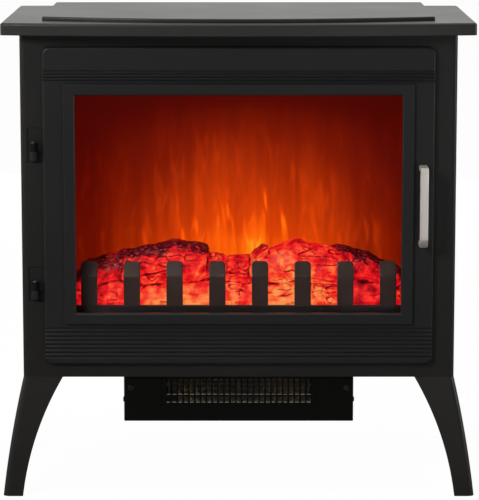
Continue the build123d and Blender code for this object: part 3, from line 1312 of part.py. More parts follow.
# Scroll round the fan: rear guide, roof and tongue between two end plates
with BuildPart() as fan_scroll:
    guide = FAN_DIAMETER / 2 + SCROLL_GAP
    with BuildSketch(facing_right(-scroll_half)):
        with Locations((FAN_Y, FAN_Z)):
            Circle(guide + SCROLL_SHEET)
            Circle(guide, mode=Mode.SUBTRACT)
        with Locations((FAN_Y - guide, FAN_Z)):
            Rectangle(2 * guide, 3 * guide, mode=Mode.SUBTRACT)
        with Locations((FAN_Y + guide, FAN_Z - guide)):
            Rectangle(3 * guide, 2 * guide, mode=Mode.SUBTRACT)
        with Locations(((mica_back + FAN_Y) / 2, FAN_Z + guide + SCROLL_SHEET / 2)):
            Rectangle(FAN_Y - mica_back, SCROLL_SHEET)
        tongue_end = FAN_Y - guide
        with Locations(((mica_back + tongue_end) / 2, strip_top - SCROLL_SHEET / 2)):
            Rectangle(tongue_end - mica_back, SCROLL_SHEET)
    extrude(amount=2 * scroll_half)
    plate_back = FAN_Y + guide + SCROLL_SHEET
    plate_top = FAN_Z + guide + SCROLL_SHEET
    for side in (-1, 1):
        slab(
            (side * scroll_half, side * scroll_end),
            (mica_back, plate_back),
            (HEATER_BOTTOM + HEATER_SHEET, plate_top),
        )
    with BuildSketch(facing_right(-scroll_end)):
        with Locations((FAN_Y, FAN_Z)):
            Circle(BUSH_DIAMETER / 2 + PIN_FIT)
    extrude(amount=2 * scroll_end, mode=Mode.SUBTRACT)

# End bush, motor and thermal cut-out of the fan
with BuildPart() as fan_bush:
    with BuildSketch(Plane(origin=(-scroll_end, FAN_Y, FAN_Z), x_dir=(-1, 0, 0), z_dir=(0, 1, 0))):
        with BuildLine():
            Polyline(
                (-SCROLL_SHEET, FAN_SHAFT / 2 + PIN_FIT),
                (-SCROLL_SHEET, BUSH_DIAMETER / 2),
                (0, BUSH_DIAMETER / 2),
                (0, BUSH_FLANGE / 2),
                (BUSH_LENGTH / 2, BUSH_FLANGE / 2),
                (BUSH_LENGTH, BUSH_DIAMETER / 2),
                (BUSH_LENGTH, FAN_SHAFT / 2 + PIN_FIT),
                close=True,
            )
        make_face()
    revolve(axis=Axis((-scroll_end, FAN_Y, FAN_Z), (1, 0, 0)))
with BuildPart() as fan_motor:
    with BuildSketch(facing_right(scroll_end)):
        with Locations((FAN_Y, FAN_Z)):
            Circle(FAN_MOTOR_BELL / 2)
    extrude(amount=2 * FAN_MOTOR_BELL_LENGTH + FAN_MOTOR_STACK)
    with BuildSketch(facing_right(scroll_end + FAN_MOTOR_BELL_LENGTH)):
        with Locations((FAN_Y, FAN_Z)):
            RectangleRounded(FAN_MOTOR_SIZE, FAN_MOTOR_SIZE, FAN_MOTOR_CORNER)
    extrude(amount=FAN_MOTOR_STACK)
    with BuildSketch(facing_right(scroll_end)):
        with Locations((FAN_Y, FAN_Z)):
            Circle(FAN_SHAFT / 2 + PIN_FIT)
    extrude(amount=FAN_MOTOR_BORE, mode=Mode.SUBTRACT)
with BuildPart() as thermal_cutout:
    with BuildSketch(facing_right(-scroll_end)):
        with Locations((FAN_Y - CUTOUT_AHEAD, FAN_Z + CUTOUT_RAISE)):
            Circle(CUTOUT_DIAMETER / 2)
    extrude(amount=-CUTOUT_HEIGHT)
    fillet(thermal_cutout.edges().group_by(Axis.X)[0], CUTOUT_EDGE)

# Screws of the heater box: two in front, one on each side and four down through the base plate
heater_box_screws = screws(
    [((side * HEATER_SCREW_X, HEATER_FRONT, HEATER_SCREW_Z), TURN_FRONT) for side in (-1, 1)]
    + [((-HEATER_WIDTH / 2, HEATER_SIDE_SCREW_Y, HEATER_SIDE_SCREW_Z), TURN_LEFT)]
    + [((HEATER_WIDTH / 2, HEATER_SIDE_SCREW_Y, HEATER_SIDE_SCREW_Z), TURN_RIGHT)]
    + [((x, y, LEG_HEIGHT + SHEET), TURN_UP) for x, y in HEATER_BASE_SCREWS],
    SCREW,
    SCREW_HEAD,
    SCREW_HEAD_HEIGHT,
    SCREW_LENGTH,
)

# Control panel behind the lower part of the door
rocker_half = ROCKER_LENGTH / 2
rocker_sweep = hypot(rocker_half, ROCKER_VALLEY + rocker_half * tan(radians(ROCKER_TILT)))
slot_width = ROCKER_WIDTH + 2 * ROCKER_CLEARANCE
slot_height = 2 * (rocker_sweep + ROCKER_CLEARANCE)
case_width = slot_width + 2 * SWITCH_WALL
case_height = slot_height + 2 * SWITCH_WALL
pivot_y = CONTROL_FRONT + ROCKER_PIVOT_DEPTH
with BuildPart() as control_panel:
    panel_bottom = OPENING_BOTTOM - SHEET - CONTROL_LAP
    panel_top = FLOOR_Z - FIREBOX_SHEET
    with BuildSketch(facing_front(CONTROL_FRONT)):
        with Locations((0, (panel_bottom + panel_top) / 2)):
            Rectangle(OPENING_WIDTH + 2 * SHEET + 2 * CONTROL_LAP, panel_top - panel_bottom)
        with Locations(*[(x, CONTROL_Z) for x in ROCKER_PLACES]):
            Rectangle(case_width + 2 * SCREW_FIT, case_height + 2 * SCREW_FIT, mode=Mode.SUBTRACT)
        with Locations((KNOB_X, CONTROL_Z)):
            Circle(THERMOSTAT_NOSE / 2 + SCREW_FIT, mode=Mode.SUBTRACT)
    extrude(amount=-CONTROL_SHEET)

# Switch housings: one for each rocker, with a flange on the panel and a closed case behind it
with BuildPart() as switch_housings:
    with BuildSketch(facing_front(CONTROL_FRONT)):
        with Locations(*[(x, CONTROL_Z) for x in ROCKER_PLACES]):
            Rectangle(case_width + 2 * SWITCH_FLANGE, case_height + 2 * SWITCH_FLANGE)
    extrude(amount=SWITCH_BEZEL)
    with BuildSketch(facing_front(CONTROL_FRONT)):
        with Locations(*[(x, CONTROL_Z) for x in ROCKER_PLACES]):
            Rectangle(case_width, case_height)
    extrude(amount=-SWITCH_DEPTH)
    with BuildSketch(facing_front(CONTROL_FRONT - SWITCH_BEZEL)):
        with Locations(*[(x, CONTROL_Z) for x in ROCKER_PLACES]):
            Rectangle(slot_width, slot_height)
    extrude(amount=-(SWITCH_BEZEL + SWITCH_DEPTH - SWITCH_WALL), mode=Mode.SUBTRACT)
    for place in ROCKER_PLACES:
        with BuildSketch(facing_right(place - case_width / 2)):
            with Locations((pivot_y, CONTROL_Z)):
                Circle(ROCKER_PIN / 2 + PIN_FIT)
        extrude(amount=case_width, mode=Mode.SUBTRACT)


def rocker(place):
    """A rocker with two facets, resting with its upper end pressed in, on pins at its pivot."""
    lean = rocker_half * tan(radians(ROCKER_TILT))
    pivot = (place, pivot_y, CONTROL_Z)
    tilted = (0, cos(radians(ROCKER_TILT)), -sin(radians(ROCKER_TILT)))
    with BuildPart() as key:
        with BuildSketch(Plane(origin=pivot, x_dir=tilted, z_dir=(1, 0, 0))):
            with BuildLine():
                Polyline(
                    (-ROCKER_VALLEY, 0),
                    (-ROCKER_VALLEY - lean, rocker_half),
                    (ROCKER_BACK, rocker_half),
                    (ROCKER_BACK, -rocker_half),
                    (-ROCKER_VALLEY - lean, -rocker_half),
                    close=True,
                )
            make_face()
        extrude(amount=ROCKER_WIDTH / 2, both=True)
        with BuildSketch(Plane(origin=pivot, x_dir=(0, 1, 0), z_dir=(1, 0, 0))):
            Circle(ROCKER_PIN / 2)
        extrude(amount=case_width / 2, both=True)
    return key


rocker_power = rocker(ROCKER_PLACES[0])
rocker_low_heat = rocker(ROCKER_PLACES[1])
rocker_high_heat = rocker(ROCKER_PLACES[2])

# Thermostat: its body behind the panel and the ridged knob in front
with BuildPart() as thermostat_body:
    panel_back = CONTROL_FRONT + CONTROL_SHEET
    with BuildSketch(facing_front(panel_back)):
        with Locations((KNOB_X, CONTROL_Z)):
            Circle(THERMOSTAT_DIAMETER / 2)
    extrude(amount=-THERMOSTAT_LENGTH)
    with BuildSketch(facing_front(panel_back)):
        with Locations((KNOB_X, CONTROL_Z)):
            Circle(THERMOSTAT_NOSE / 2)
    extrude(amount=CONTROL_SHEET)
    with BuildSketch(facing_front(panel_back)):
        with Locations((KNOB_X, CONTROL_Z)):
            Circle(KNOB_SHAFT / 2)
    extrude(amount=CONTROL_SHEET + KNOB_LIFT + KNOB_BORE_DEPTH - SCREW_END_GAP)
with BuildPart() as thermostat_knob:
    with BuildSketch(facing_front(CONTROL_FRONT - KNOB_LIFT)):
        with Locations((KNOB_X, CONTROL_Z)):
            Circle(KNOB_DIAMETER / 2)
            with PolarLocations(KNOB_DIAMETER / 2 + KNOB_RIDGE / 2, KNOB_RIDGES):
                Circle(KNOB_RIDGE, mode=Mode.SUBTRACT)
    extrude(amount=KNOB_HEIGHT)
    chamfer(thermostat_knob.edges().group_by(Axis.Y)[0], KNOB_EDGE)
    with BuildSketch(facing_front(CONTROL_FRONT - KNOB_LIFT - KNOB_HEIGHT)):
        with Locations((KNOB_X, CONTROL_Z + KNOB_DIAMETER / 4)):
            Rectangle(KNOB_RIDGE, KNOB_DIAMETER / 4)
    extrude(amount=-KNOB_MARK_DEPTH, mode=Mode.SUBTRACT)
    with BuildSketch(facing_front(CONTROL_FRONT - KNOB_LIFT)):
        with Locations((KNOB_X, CONTROL_Z)):
            Circle(KNOB_SHAFT / 2 + PIN_FIT)
    extrude(amount=KNOB_BORE_DEPTH, mode=Mode.SUBTRACT)

# Gland where the cord enters the back
with BuildPart() as cord_gland:
    with BuildSketch(Plane(origin=(GLAND_X, BACK, GLAND_Z), x_dir=(0, 1, 0), z_dir=(1, 0, 0))):
        with BuildLine():
            Polyline(
                (-SHEET - GLAND_FLANGE_LENGTH, GLAND_CORD / 2),
                (-SHEET - GLAND_FLANGE_LENGTH, GLAND_FLANGE / 2),
                (-SHEET, GLAND_FLANGE / 2),
                (-SHEET, GLAND_DIAMETER / 2 - PIN_FIT),
                (0, GLAND_DIAMETER / 2 - PIN_FIT),
                (0, GLAND_FLANGE / 2),
                (GLAND_FLANGE_LENGTH, GLAND_FLANGE / 2),
                (GLAND_PROUD, GLAND_DIAMETER / 2),
                (GLAND_PROUD, GLAND_CORD / 2),
                close=True,
            )
        make_face()
    revolve(axis=Axis((GLAND_X, BACK, GLAND_Z), (0, 1, 0)))
back_panel_screws = screws(
    [((x, BACK, z), TURN_BACK) for x, z in BACK_SCREW_PLACES],
    SCREW,
    SCREW_HEAD,
    SCREW_HEAD_HEIGHT,
    SCREW_LENGTH,
)

# Every piece under its own name
pieces = {
    "top_plate": top_plate,
    "raised_top_panel": raised_top_panel,
    "front_frame": front_frame,
    "side_panel_left": side_panel_left,
    "side_panel_right": side_panel_right,
    "back_panel": back_panel,
    "base_plate": base_plate,
    "leg_front_left": leg_front_left,
    "leg_front_right": leg_front_right,
    "leg_rear_left": leg_rear_left,
    "leg_rear_right": leg_rear_right,
    "leg_screws": leg_screws,
    "door_panel": door_panel,
    "window_bezel": window_bezel,
    "glass_gasket": glass_gasket,
    "door_glass": door_glass,
    "glass_clips": glass_clips,
    "door_handle": door_handle,
    "handle_screws": handle_screws,
    "hinge_leaf_body_upper": hinge_leaf_body_upper,
    "hinge_leaf_body_lower": hinge_leaf_body_lower,
    "hinge_leaf_door_upper": hinge_leaf_door_upper,
    "hinge_leaf_door_lower": hinge_leaf_door_lower,
    "hinge_pin_upper": hinge_pin_upper,
    "hinge_pin_lower": hinge_pin_lower,
    "strike_plate": strike_plate,
    "magnet_catch": magnet_catch,
    "firebox_wall_left": firebox_wall_left,
    "firebox_wall_right": firebox_wall_right,
    "firebox_ceiling": firebox_ceiling,
    "firebox_floor": firebox_floor,
    "flame_screen": flame_screen,
    "grate": grate,
    "log_bed": log_bed,
    "ember_led_board": ember_led_board,
    "flame_led_board": flame_led_board,
    "flame_spindle": flame_spindle,
    "spindle_brackets": spindle_brackets,
    "spindle_motor": spindle_motor,
    "heater_box": heater_box,
    "heater_box_screws": heater_box_screws,
    "outlet_guard": outlet_guard,
    "element_frame": element_frame,
    "heating_wire": heating_wire,
    "fan_rotor": fan_rotor,
    "fan_scroll": fan_scroll,
    "fan_bush": fan_bush,
    "fan_motor": fan_motor,
    "thermal_cutout": thermal_cutout,
    "control_panel": control_panel,
    "switch_housings": switch_housings,
    "rocker_power": rocker_power,
    "rocker_low_heat": rocker_low_heat,
    "rocker_high_heat": rocker_high_heat,
    "thermostat_body": thermostat_body,
    "thermostat_knob": thermostat_knob,
    "cord_gland": cord_gland,
    "back_panel_screws": back_panel_screws,
}
for name, piece in pieces.items():
    piece.part.label = name
    export_step(piece.part, f"parts/{name}.step")
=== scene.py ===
"""Looks of a free-standing electric fireplace in stove style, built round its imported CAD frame.

The CAD nodes carry most of the shape. This script gives every surface its finish, puts fuller meshes
in place of the log bed, the grate, the heating wire, the switch keys and the screws, and adds the
lips of the outlet guard and the print of the thermostat.
Metres, +Z up, the front faces -Y, the origin is on the floor under the middle of the object.
"""

from __future__ import annotations

import json
import logging
import math
from dataclasses import dataclass, field
from enum import Enum, IntEnum
from typing import Any, Iterable, Mapping, Sequence

import bmesh
import bpy
import numpy as np
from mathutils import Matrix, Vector, noise

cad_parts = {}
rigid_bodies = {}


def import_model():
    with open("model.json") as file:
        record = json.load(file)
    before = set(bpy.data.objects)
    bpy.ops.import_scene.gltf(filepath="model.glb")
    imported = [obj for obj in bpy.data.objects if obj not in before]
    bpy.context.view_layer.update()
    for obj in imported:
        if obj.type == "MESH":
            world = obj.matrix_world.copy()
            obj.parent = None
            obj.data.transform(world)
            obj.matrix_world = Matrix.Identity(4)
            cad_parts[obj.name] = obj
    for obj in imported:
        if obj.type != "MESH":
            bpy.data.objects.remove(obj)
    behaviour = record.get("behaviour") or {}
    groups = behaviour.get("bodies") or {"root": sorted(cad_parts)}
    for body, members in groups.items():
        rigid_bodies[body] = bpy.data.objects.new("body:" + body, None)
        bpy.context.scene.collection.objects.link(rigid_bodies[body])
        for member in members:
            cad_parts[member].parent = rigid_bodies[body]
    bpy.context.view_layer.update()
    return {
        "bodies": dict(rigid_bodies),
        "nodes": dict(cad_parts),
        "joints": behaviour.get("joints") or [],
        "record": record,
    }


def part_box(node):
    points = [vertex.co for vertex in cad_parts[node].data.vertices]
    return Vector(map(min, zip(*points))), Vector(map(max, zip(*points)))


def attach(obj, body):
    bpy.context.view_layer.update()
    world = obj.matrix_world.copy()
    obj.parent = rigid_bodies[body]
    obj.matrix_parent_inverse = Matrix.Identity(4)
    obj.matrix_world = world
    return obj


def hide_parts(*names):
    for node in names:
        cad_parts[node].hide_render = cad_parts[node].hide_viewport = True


log = logging.getLogger("fireplace")

MM = 0.001
IMAGE_LONG_SIDE = 500
SENSOR_MM = 36.0
WHITE = "#ffffff"
# Corners of a CAD mesh's loose triangles that lie nearer than this are one point.
WELD = 0.001 * MM

Pair = tuple[float, float]
Triple = tuple[float, float, float]
Quad = tuple[float, float, float, float]
Stops = tuple[tuple[float, str], ...]
# Fall-off, spacing and number of the layers in fractal noise
Layers = tuple[float, float, int]
Node = bpy.types.Node
Socket = bpy.types.NodeSocket
Tree = bpy.types.NodeTree
Piece = bpy.types.Object
WorkMesh = bmesh.types.BMesh

# Kinds of nodes that come up often
NOISE = "ShaderNodeTexNoise"
RANGE = "ShaderNodeMapRange"
RAMP = "ShaderNodeValToRGB"
MATH = "ShaderNodeMath"
VECTOR = "ShaderNodeVectorMath"
MAPPING = "ShaderNodeMapping"
SPLIT = "ShaderNodeSeparateXYZ"
JOIN = "ShaderNodeCombineXYZ"
MIX = "ShaderNodeMix"
BUMP = "ShaderNodeBump"
RAYS = "ShaderNodeLightPath"
PRINCIPLED = "ShaderNodeBsdfPrincipled"
MIX_SHADER = "ShaderNodeMixShader"
EMISSION = "ShaderNodeEmission"
BACKGROUND = "ShaderNodeBackground"
INSTANCES = "GeometryNodeInstanceOnPoints"
ALIGN = "FunctionNodeAlignRotationToVector"

# Kind of a tree's input by the type of its default, where None stands for an object
SOCKET_KINDS = {
    int: "NodeSocketInt",
    float: "NodeSocketFloat",
    tuple: "NodeSocketVector",
    type(None): "NodeSocketObject",
}


class Body(str, Enum):
    """The moving bodies that a new piece can ride on."""

    CASING = "casing"
    ROCKER_POWER = "rocker_power"
    ROCKER_LOW = "rocker_low_heat"
    ROCKER_HIGH = "rocker_high_heat"
    KNOB = "thermostat_knob"


class Slot(str, Enum):
    """The record's material slots of the new pieces."""

    SCREWS = "black_screws"
    GRATE = "grate_iron"
    LOGS = "log_resin"
    WIRE = "element_wire"
    GUARD = "zinc_steel"
    KEYS = "switch_plastic"


class Axis(IntEnum):
    """The way that a metal was brushed or drawn."""

    X = 0
    Z = 2


def linear(hex_colour: str) -> Quad:
    """Turns an sRGB hex colour into linear light.

    Args:
        hex_colour: Six hex digits, with or without a leading hash.

    Returns:
        Linear red, green and blue with an alpha of 1.
    """
    digits = hex_colour.lstrip("#")
    channels = [int(digits[i : i + 2], 16) / 255 for i in (0, 2, 4)]
    r, g, b = [c / 12.92 if c <= 0.04045 else ((c + 0.055) / 1.055) ** 2.4 for c in channels]
    return (r, g, b, 1.0)


def scale_of(size_mm: float) -> float:
    """Gives the scale at which a pattern's grain has a size in millimetres."""
    return 1 / (size_mm * MM)


def add(tree: Tree, kind: str, inputs: Mapping | Sequence = (), stops: Stops = (), **settings: Any) -> Node:
    """Adds one node with its settings, values and links.

    Args:
        tree: The node tree that gets the node.
        kind: Blender's type name of the node.
        inputs: What goes in, by input name or number, or in the order in which Blender lists the
            inputs: a value, another node's output socket, or a node, for its first output.
        stops: Position and hex colour of each stop, if it is a colour ramp.
        settings: Properties of the node itself.

    Returns:
        The new node.
    """
    node = tree.nodes.new(kind)
    for name, value in settings.items():
        setattr(node, name, value)
    given = inputs if isinstance(inputs, Mapping) else dict(enumerate(inputs))
    for key, value in given.items():
        source = value.outputs[0] if isinstance(value, Node) else value
        if isinstance(source, Socket):
            tree.links.new(source, node.inputs[key])
        else:
            node.inputs[key].default_value = source
    if stops:
        elements = node.color_ramp.elements
        while len(elements) < len(stops):
            elements.new(1.0)
        for element, (position, colour) in zip(elements, stops):
            element.position = position
            element.color = linear(colour)
    return node


def sight_lines(tree: Tree) -> tuple[Node, Node]:
    """Adds the test for rays that look at the surroundings.

    Args:
        tree: The node tree.

    Returns:
        A node that is 1 for what is seen straight or through glass, and one that is 1 for mirror
        images, also where they come back through the glass.
    """
    rays = add(tree, RAYS).outputs
    bounced = add(tree, MATH, (rays["Is Glossy Ray"], rays["Is Transmission Ray"]), operation="MAXIMUM")
    mirror = add(tree, MATH, (bounced, rays["Glossy Depth"]), operation="MULTIPLY", use_clamp=True)
    through = add(tree, MATH, (rays["Is Camera Ray"], rays["Is Transmission Ray"]), operation="MAXIMUM")
    direct = add(tree, MATH, (through, mirror), operation="SUBTRACT", use_clamp=True)
    return direct, mirror


@dataclass(frozen=True)
class Finish:
    """A material, named for what the surface is made of and how it was finished."""

    name: str

    def build(self) -> bpy.types.Material:
        """Builds the material.

        Returns:
            The material, with its shader wired to its output.
        """
        material = bpy.data.materials.new(self.name)
        material.use_nodes = True
        tree = material.node_tree
        tree.nodes.clear()
        at = add(tree, "ShaderNodeTexCoord").outputs["Object"]
        add(tree, "ShaderNodeOutputMaterial", (self.shader(tree, at),))
        return material

    def shader(self, tree: Tree, at: Socket) -> Node:
        """Adds the nodes of the finish and returns the last one; each kind of finish has its own."""
        raise NotImplementedError


@dataclass(frozen=True)
class PowderCoat(Finish):
    """Polyester powder coat baked onto steel: an even satin black with a faint orange peel."""

    colour: str
    roughness: float = 0.38
    specular: float = 0.16
    # Real orange peel is under 1 mm wide, too fine for the render, so it is drawn coarser.
    peel_mm: float = 2.2
    peel_strength: float = 0.05
    peel_depth_mm: float = 0.3
    cloud_mm: float = 90.0
    cloud_tone: float = 0.14
    cloud_gloss: float = 0.05
    edge_mm: float = 0.7

    def shader(self, tree: Tree, at: Socket) -> Node:
        """Adds the paint with its peel, its clouded tone and gloss, and softened edges.

        Args:
            tree: The material's node tree.
            at: The socket of the Object coordinates.

        Returns:
            The Principled shader.
        """
        smooth, rough = self.roughness - self.cloud_gloss, self.roughness + self.cloud_gloss
        cloud = add(tree, NOISE, {"Vector": at, "Scale": scale_of(self.cloud_mm), "Detail": 4.0})
        gloss = add(tree, RANGE, (cloud, 0.0, 1.0, smooth, rough))
        shade = add(tree, RANGE, (cloud, 0.0, 1.0, 1 - self.cloud_tone, 1 + self.cloud_tone))
        paints = {0: 1.0, 6: linear(self.colour), 7: shade}
        tint = add(tree, MIX, paints, data_type="RGBA", blend_type="MULTIPLY")
        peel = add(tree, NOISE, {"Vector": at, "Scale": scale_of(self.peel_mm), "Detail": 2.0})
        edge = add(tree, "ShaderNodeBevel", {"Radius": self.edge_mm * MM}, samples=4)
        relief = {"Strength": self.peel_strength, "Distance": self.peel_depth_mm * MM}
        bump = add(tree, BUMP, {"Height": peel, "Normal": edge} | relief)
        surface = {"Base Color": tint.outputs[2], "Roughness": gloss, "Normal": bump}
        return add(tree, PRINCIPLED, surface | {"Specular IOR Level": self.specular})


@dataclass(frozen=True)
class BrushedMetal(Finish):
    """Drawn or brushed metal: fine parallel scratches that stretch its highlights across them."""

    colour: str
    roughness: float = 0.34
    along: Axis = Axis.X
    # Brush lines of a satin finish are about 0.1 mm apart and are drawn coarser to show.
    line_mm: float = 0.5
    length_mm: float = 45.0
    line_depth_mm: float = 0.1
    line_strength: float = 0.12
    line_gloss: float = 0.08
    # Values of the noise between which the tone changes.
    line_band: Pair = (0.3, 0.7)
    contrast: float = 0.10
    anisotropy: float = 0.4
    metallic: float = 1.0

    def shader(self, tree: Tree, at: Socket) -> Node:
        """Adds the metal with brush lines along one axis.

        Args:
            tree: The material's node tree.
            at: The socket of the Object coordinates.

        Returns:
            The Principled shader.
        """
        scale = [scale_of(self.line_mm)] * 3
        scale[self.along] = scale_of(self.length_mm)
        drawn = add(tree, MAPPING, {"Vector": at, "Scale": scale})
        lines = add(tree, NOISE, {"Vector": drawn, "Scale": 1.0, "Detail": 3.0})
        shade = add(tree, RANGE, (lines, *self.line_band, 1 - self.contrast, 1 + self.contrast / 2))
        metals = {0: 1.0, 6: linear(self.colour), 7: shade}
        tint = add(tree, MIX, metals, data_type="RGBA", blend_type="MULTIPLY")
        smooth, rough = self.roughness - self.line_gloss, self.roughness + self.line_gloss
        gloss = add(tree, RANGE, (lines, 0.0, 1.0, smooth, rough))
        relief = {"Strength": self.line_strength, "Distance": self.line_depth_mm * MM}
        bump = add(tree, BUMP, {"Height": lines} | relief)
        surface = {"Base Color": tint.outputs[2], "Roughness": gloss, "Normal": bump}
        metal = {"Metallic": self.metallic, "Anisotropic": self.anisotropy}
        return add(tree, PRINCIPLED, surface | metal)


@dataclass(frozen=True)
class MottledSolid(Finish):
    """A moulded, cast, rolled or plated solid whose colour and gloss vary softly over a grain."""

    colour: str
    second: str
    roughness: float = 0.5
    specular: float = 0.5
    metallic: float = 0.0
    grain_mm: float = 3.0
    grain_depth_mm: float = 0.1
    grain_strength: float = 0.15
    grain_gloss: float = 0.08
    # Values of the noise at which each of the two colours is full.
    grain_band: Pair = (0.35, 0.65)

    def shader(self, tree: Tree, at: Socket) -> Node:
        """Adds the solid with a two-tone grain, varied gloss and a fine bump.

        Args:
            tree: The material's node tree.
            at: The socket of the Object coordinates.

        Returns:
            The Principled shader.
        """
        pattern = {"Vector": at, "Scale": scale_of(self.grain_mm), "Detail": 5.0, "Roughness": 0.6}
        grain = add(tree, NOISE, pattern)
        tones = tuple(zip(self.grain_band, (self.colour, self.second)))
        tint = add(tree, RAMP, (grain,), stops=tones)
        smooth, rough = self.roughness - self.grain_gloss, self.roughness + self.grain_gloss
        gloss = add(tree, RANGE, (grain, 0.0, 1.0, smooth, rough))
        relief = {"Strength": self.grain_strength, "Distance": self.grain_depth_mm * MM}
        bump = add(tree, BUMP, {"Height": grain} | relief)
        surface = {"Base Color": tint, "Roughness": gloss, "Normal": bump}
        solid = {"Specular IOR Level": self.specular, "Metallic": self.metallic}
        return add(tree, PRINCIPLED, surface | solid)


@dataclass(frozen=True)
class WindowGlass(Finish):
    """Tempered float glass: clear, flat, with a weak mirror image; lamps shine through it."""

    colour: str = "#f7f4f0"
    # Plain float glass has 1.52, and less keeps the mirror image as weak as the window shows it.
    ior: float = 1.09
    smear_mm: float = 60.0
    haze: float = 0.03

    def shader(self, tree: Tree, at: Socket) -> Node:
        """Adds clear glass that lets lamp light pass straight through.

        Args:
            tree: The material's node tree.
            at: The socket of the Object coordinates.

        Returns:
            The mix of the Principled shader with plain transparency.
        """
        tint = linear(self.colour)
        smear = add(tree, NOISE, {"Vector": at, "Scale": scale_of(self.smear_mm), "Detail": 3.0})
        haze = add(tree, RANGE, (smear, 0.0, 1.0, 0.0, self.haze))
        surface = {"Base Color": tint, "Roughness": haze, "Transmission Weight": 1.0, "IOR": self.ior}
        pane = add(tree, PRINCIPLED, surface)
        rays = add(tree, RAYS).outputs
        lamps = add(tree, MATH, (rays["Is Shadow Ray"], rays["Is Diffuse Ray"]), operation="MAXIMUM")
        clear = add(tree, "ShaderNodeBsdfTransparent", (tint,))
        return add(tree, MIX_SHADER, (lamps, pane, clear))


@dataclass(frozen=True)
class EmberResin(Finish):
    """Translucent polyester resin, cast in a bark mould, painted dark on its crests with pale flecks as
    painted glints of light, and lit from below.

    The mesh carries glow (how much lamp light comes through), char (dark paint on the bark) and
    crack (0 in a fissure), one number for each vertex.
    """

    body: str = "#240305"
    roughness: float = 0.26
    specular: float = 0.18
    # Crest paint runs from dark maroon up to pale pink along the fleck noise: the pink is a painted glint
    # of light on the rough crests.
    bark: Stops = ((0.44, "#2a030d"), (0.56, "#701222"), (0.66, "#d24a58"))
    fleck_mm: Triple = (5.5, 2.2, 2.2)
    fleck_depth_mm: float = 0.6
    fleck_strength: float = 0.7
    mottle_mm: float = 13.0
    mottle_swing: float = 0.32
    mottle_band: Pair = (0.3, 0.7)
    # Share of the light that still comes through full paint and through a full crack.
    paint_leak: float = 0.04
    crack_leak: float = 0.08
    embers: Stops = (
        (0.0, "#3c020c"),
        (0.2, "#800614"),
        (0.36, "#c20b17"),
        (0.5, "#ea141c"),
        (0.66, "#fa3627"),
        (0.82, "#ff6838"),
        (1.0, "#ff9750"),
    )

    def shader(self, tree: Tree, at: Socket) -> Node:
        """Adds the resin, lit by the mesh's own glow, char and crack.

        Args:
            tree: The material's node tree.
            at: The socket of the Object coordinates.

        Returns:
            The Principled shader.
        """
        glow, char, crack = (
            add(tree, "ShaderNodeAttribute", attribute_name=name).outputs["Fac"]
            for name in ("glow", "char", "crack")
        )
        blotches = {"Vector": at, "Scale": scale_of(self.mottle_mm), "Detail": 5.0, "Roughness": 0.62}
        mottle = add(tree, NOISE, blotches)
        swing = add(tree, RANGE, (mottle, *self.mottle_band, -self.mottle_swing, self.mottle_swing))
        heat = add(tree, MATH, (glow, swing), operation="ADD", use_clamp=True)
        light = add(tree, RAMP, (heat,), stops=self.embers)
        painted = add(tree, RANGE, (char, 0.0, 1.0, 1.0, self.paint_leak))
        cracked = add(tree, RANGE, (crack, 0.0, 1.0, self.crack_leak, 1.0))
        power = add(tree, MATH, (painted, cracked), operation="MULTIPLY")
        drawn = add(tree, MAPPING, {"Vector": at, "Scale": [scale_of(size) for size in self.fleck_mm]})
        fleck = add(tree, NOISE, {"Vector": drawn, "Scale": 1.0, "Detail": 4.0, "Roughness": 0.7})
        # Dark crest paint, with pale pink flecks as painted glints of light.
        crest_paint_and_glints = add(tree, RAMP, (fleck,), stops=self.bark)
        skin = add(tree, MIX, {0: char, 6: linear(self.body), 7: crest_paint_and_glints}, data_type="RGBA")
        relief = {"Strength": self.fleck_strength, "Distance": self.fleck_depth_mm * MM}
        bump = add(tree, BUMP, {"Height": fleck} | relief)
        surface = {"Base Color": skin.outputs[2], "Roughness": self.roughness, "Normal": bump}
        lamp = {"Emission Color": light, "Emission Strength": power}
        return add(tree, PRINCIPLED, surface | lamp | {"Specular IOR Level": self.specular})


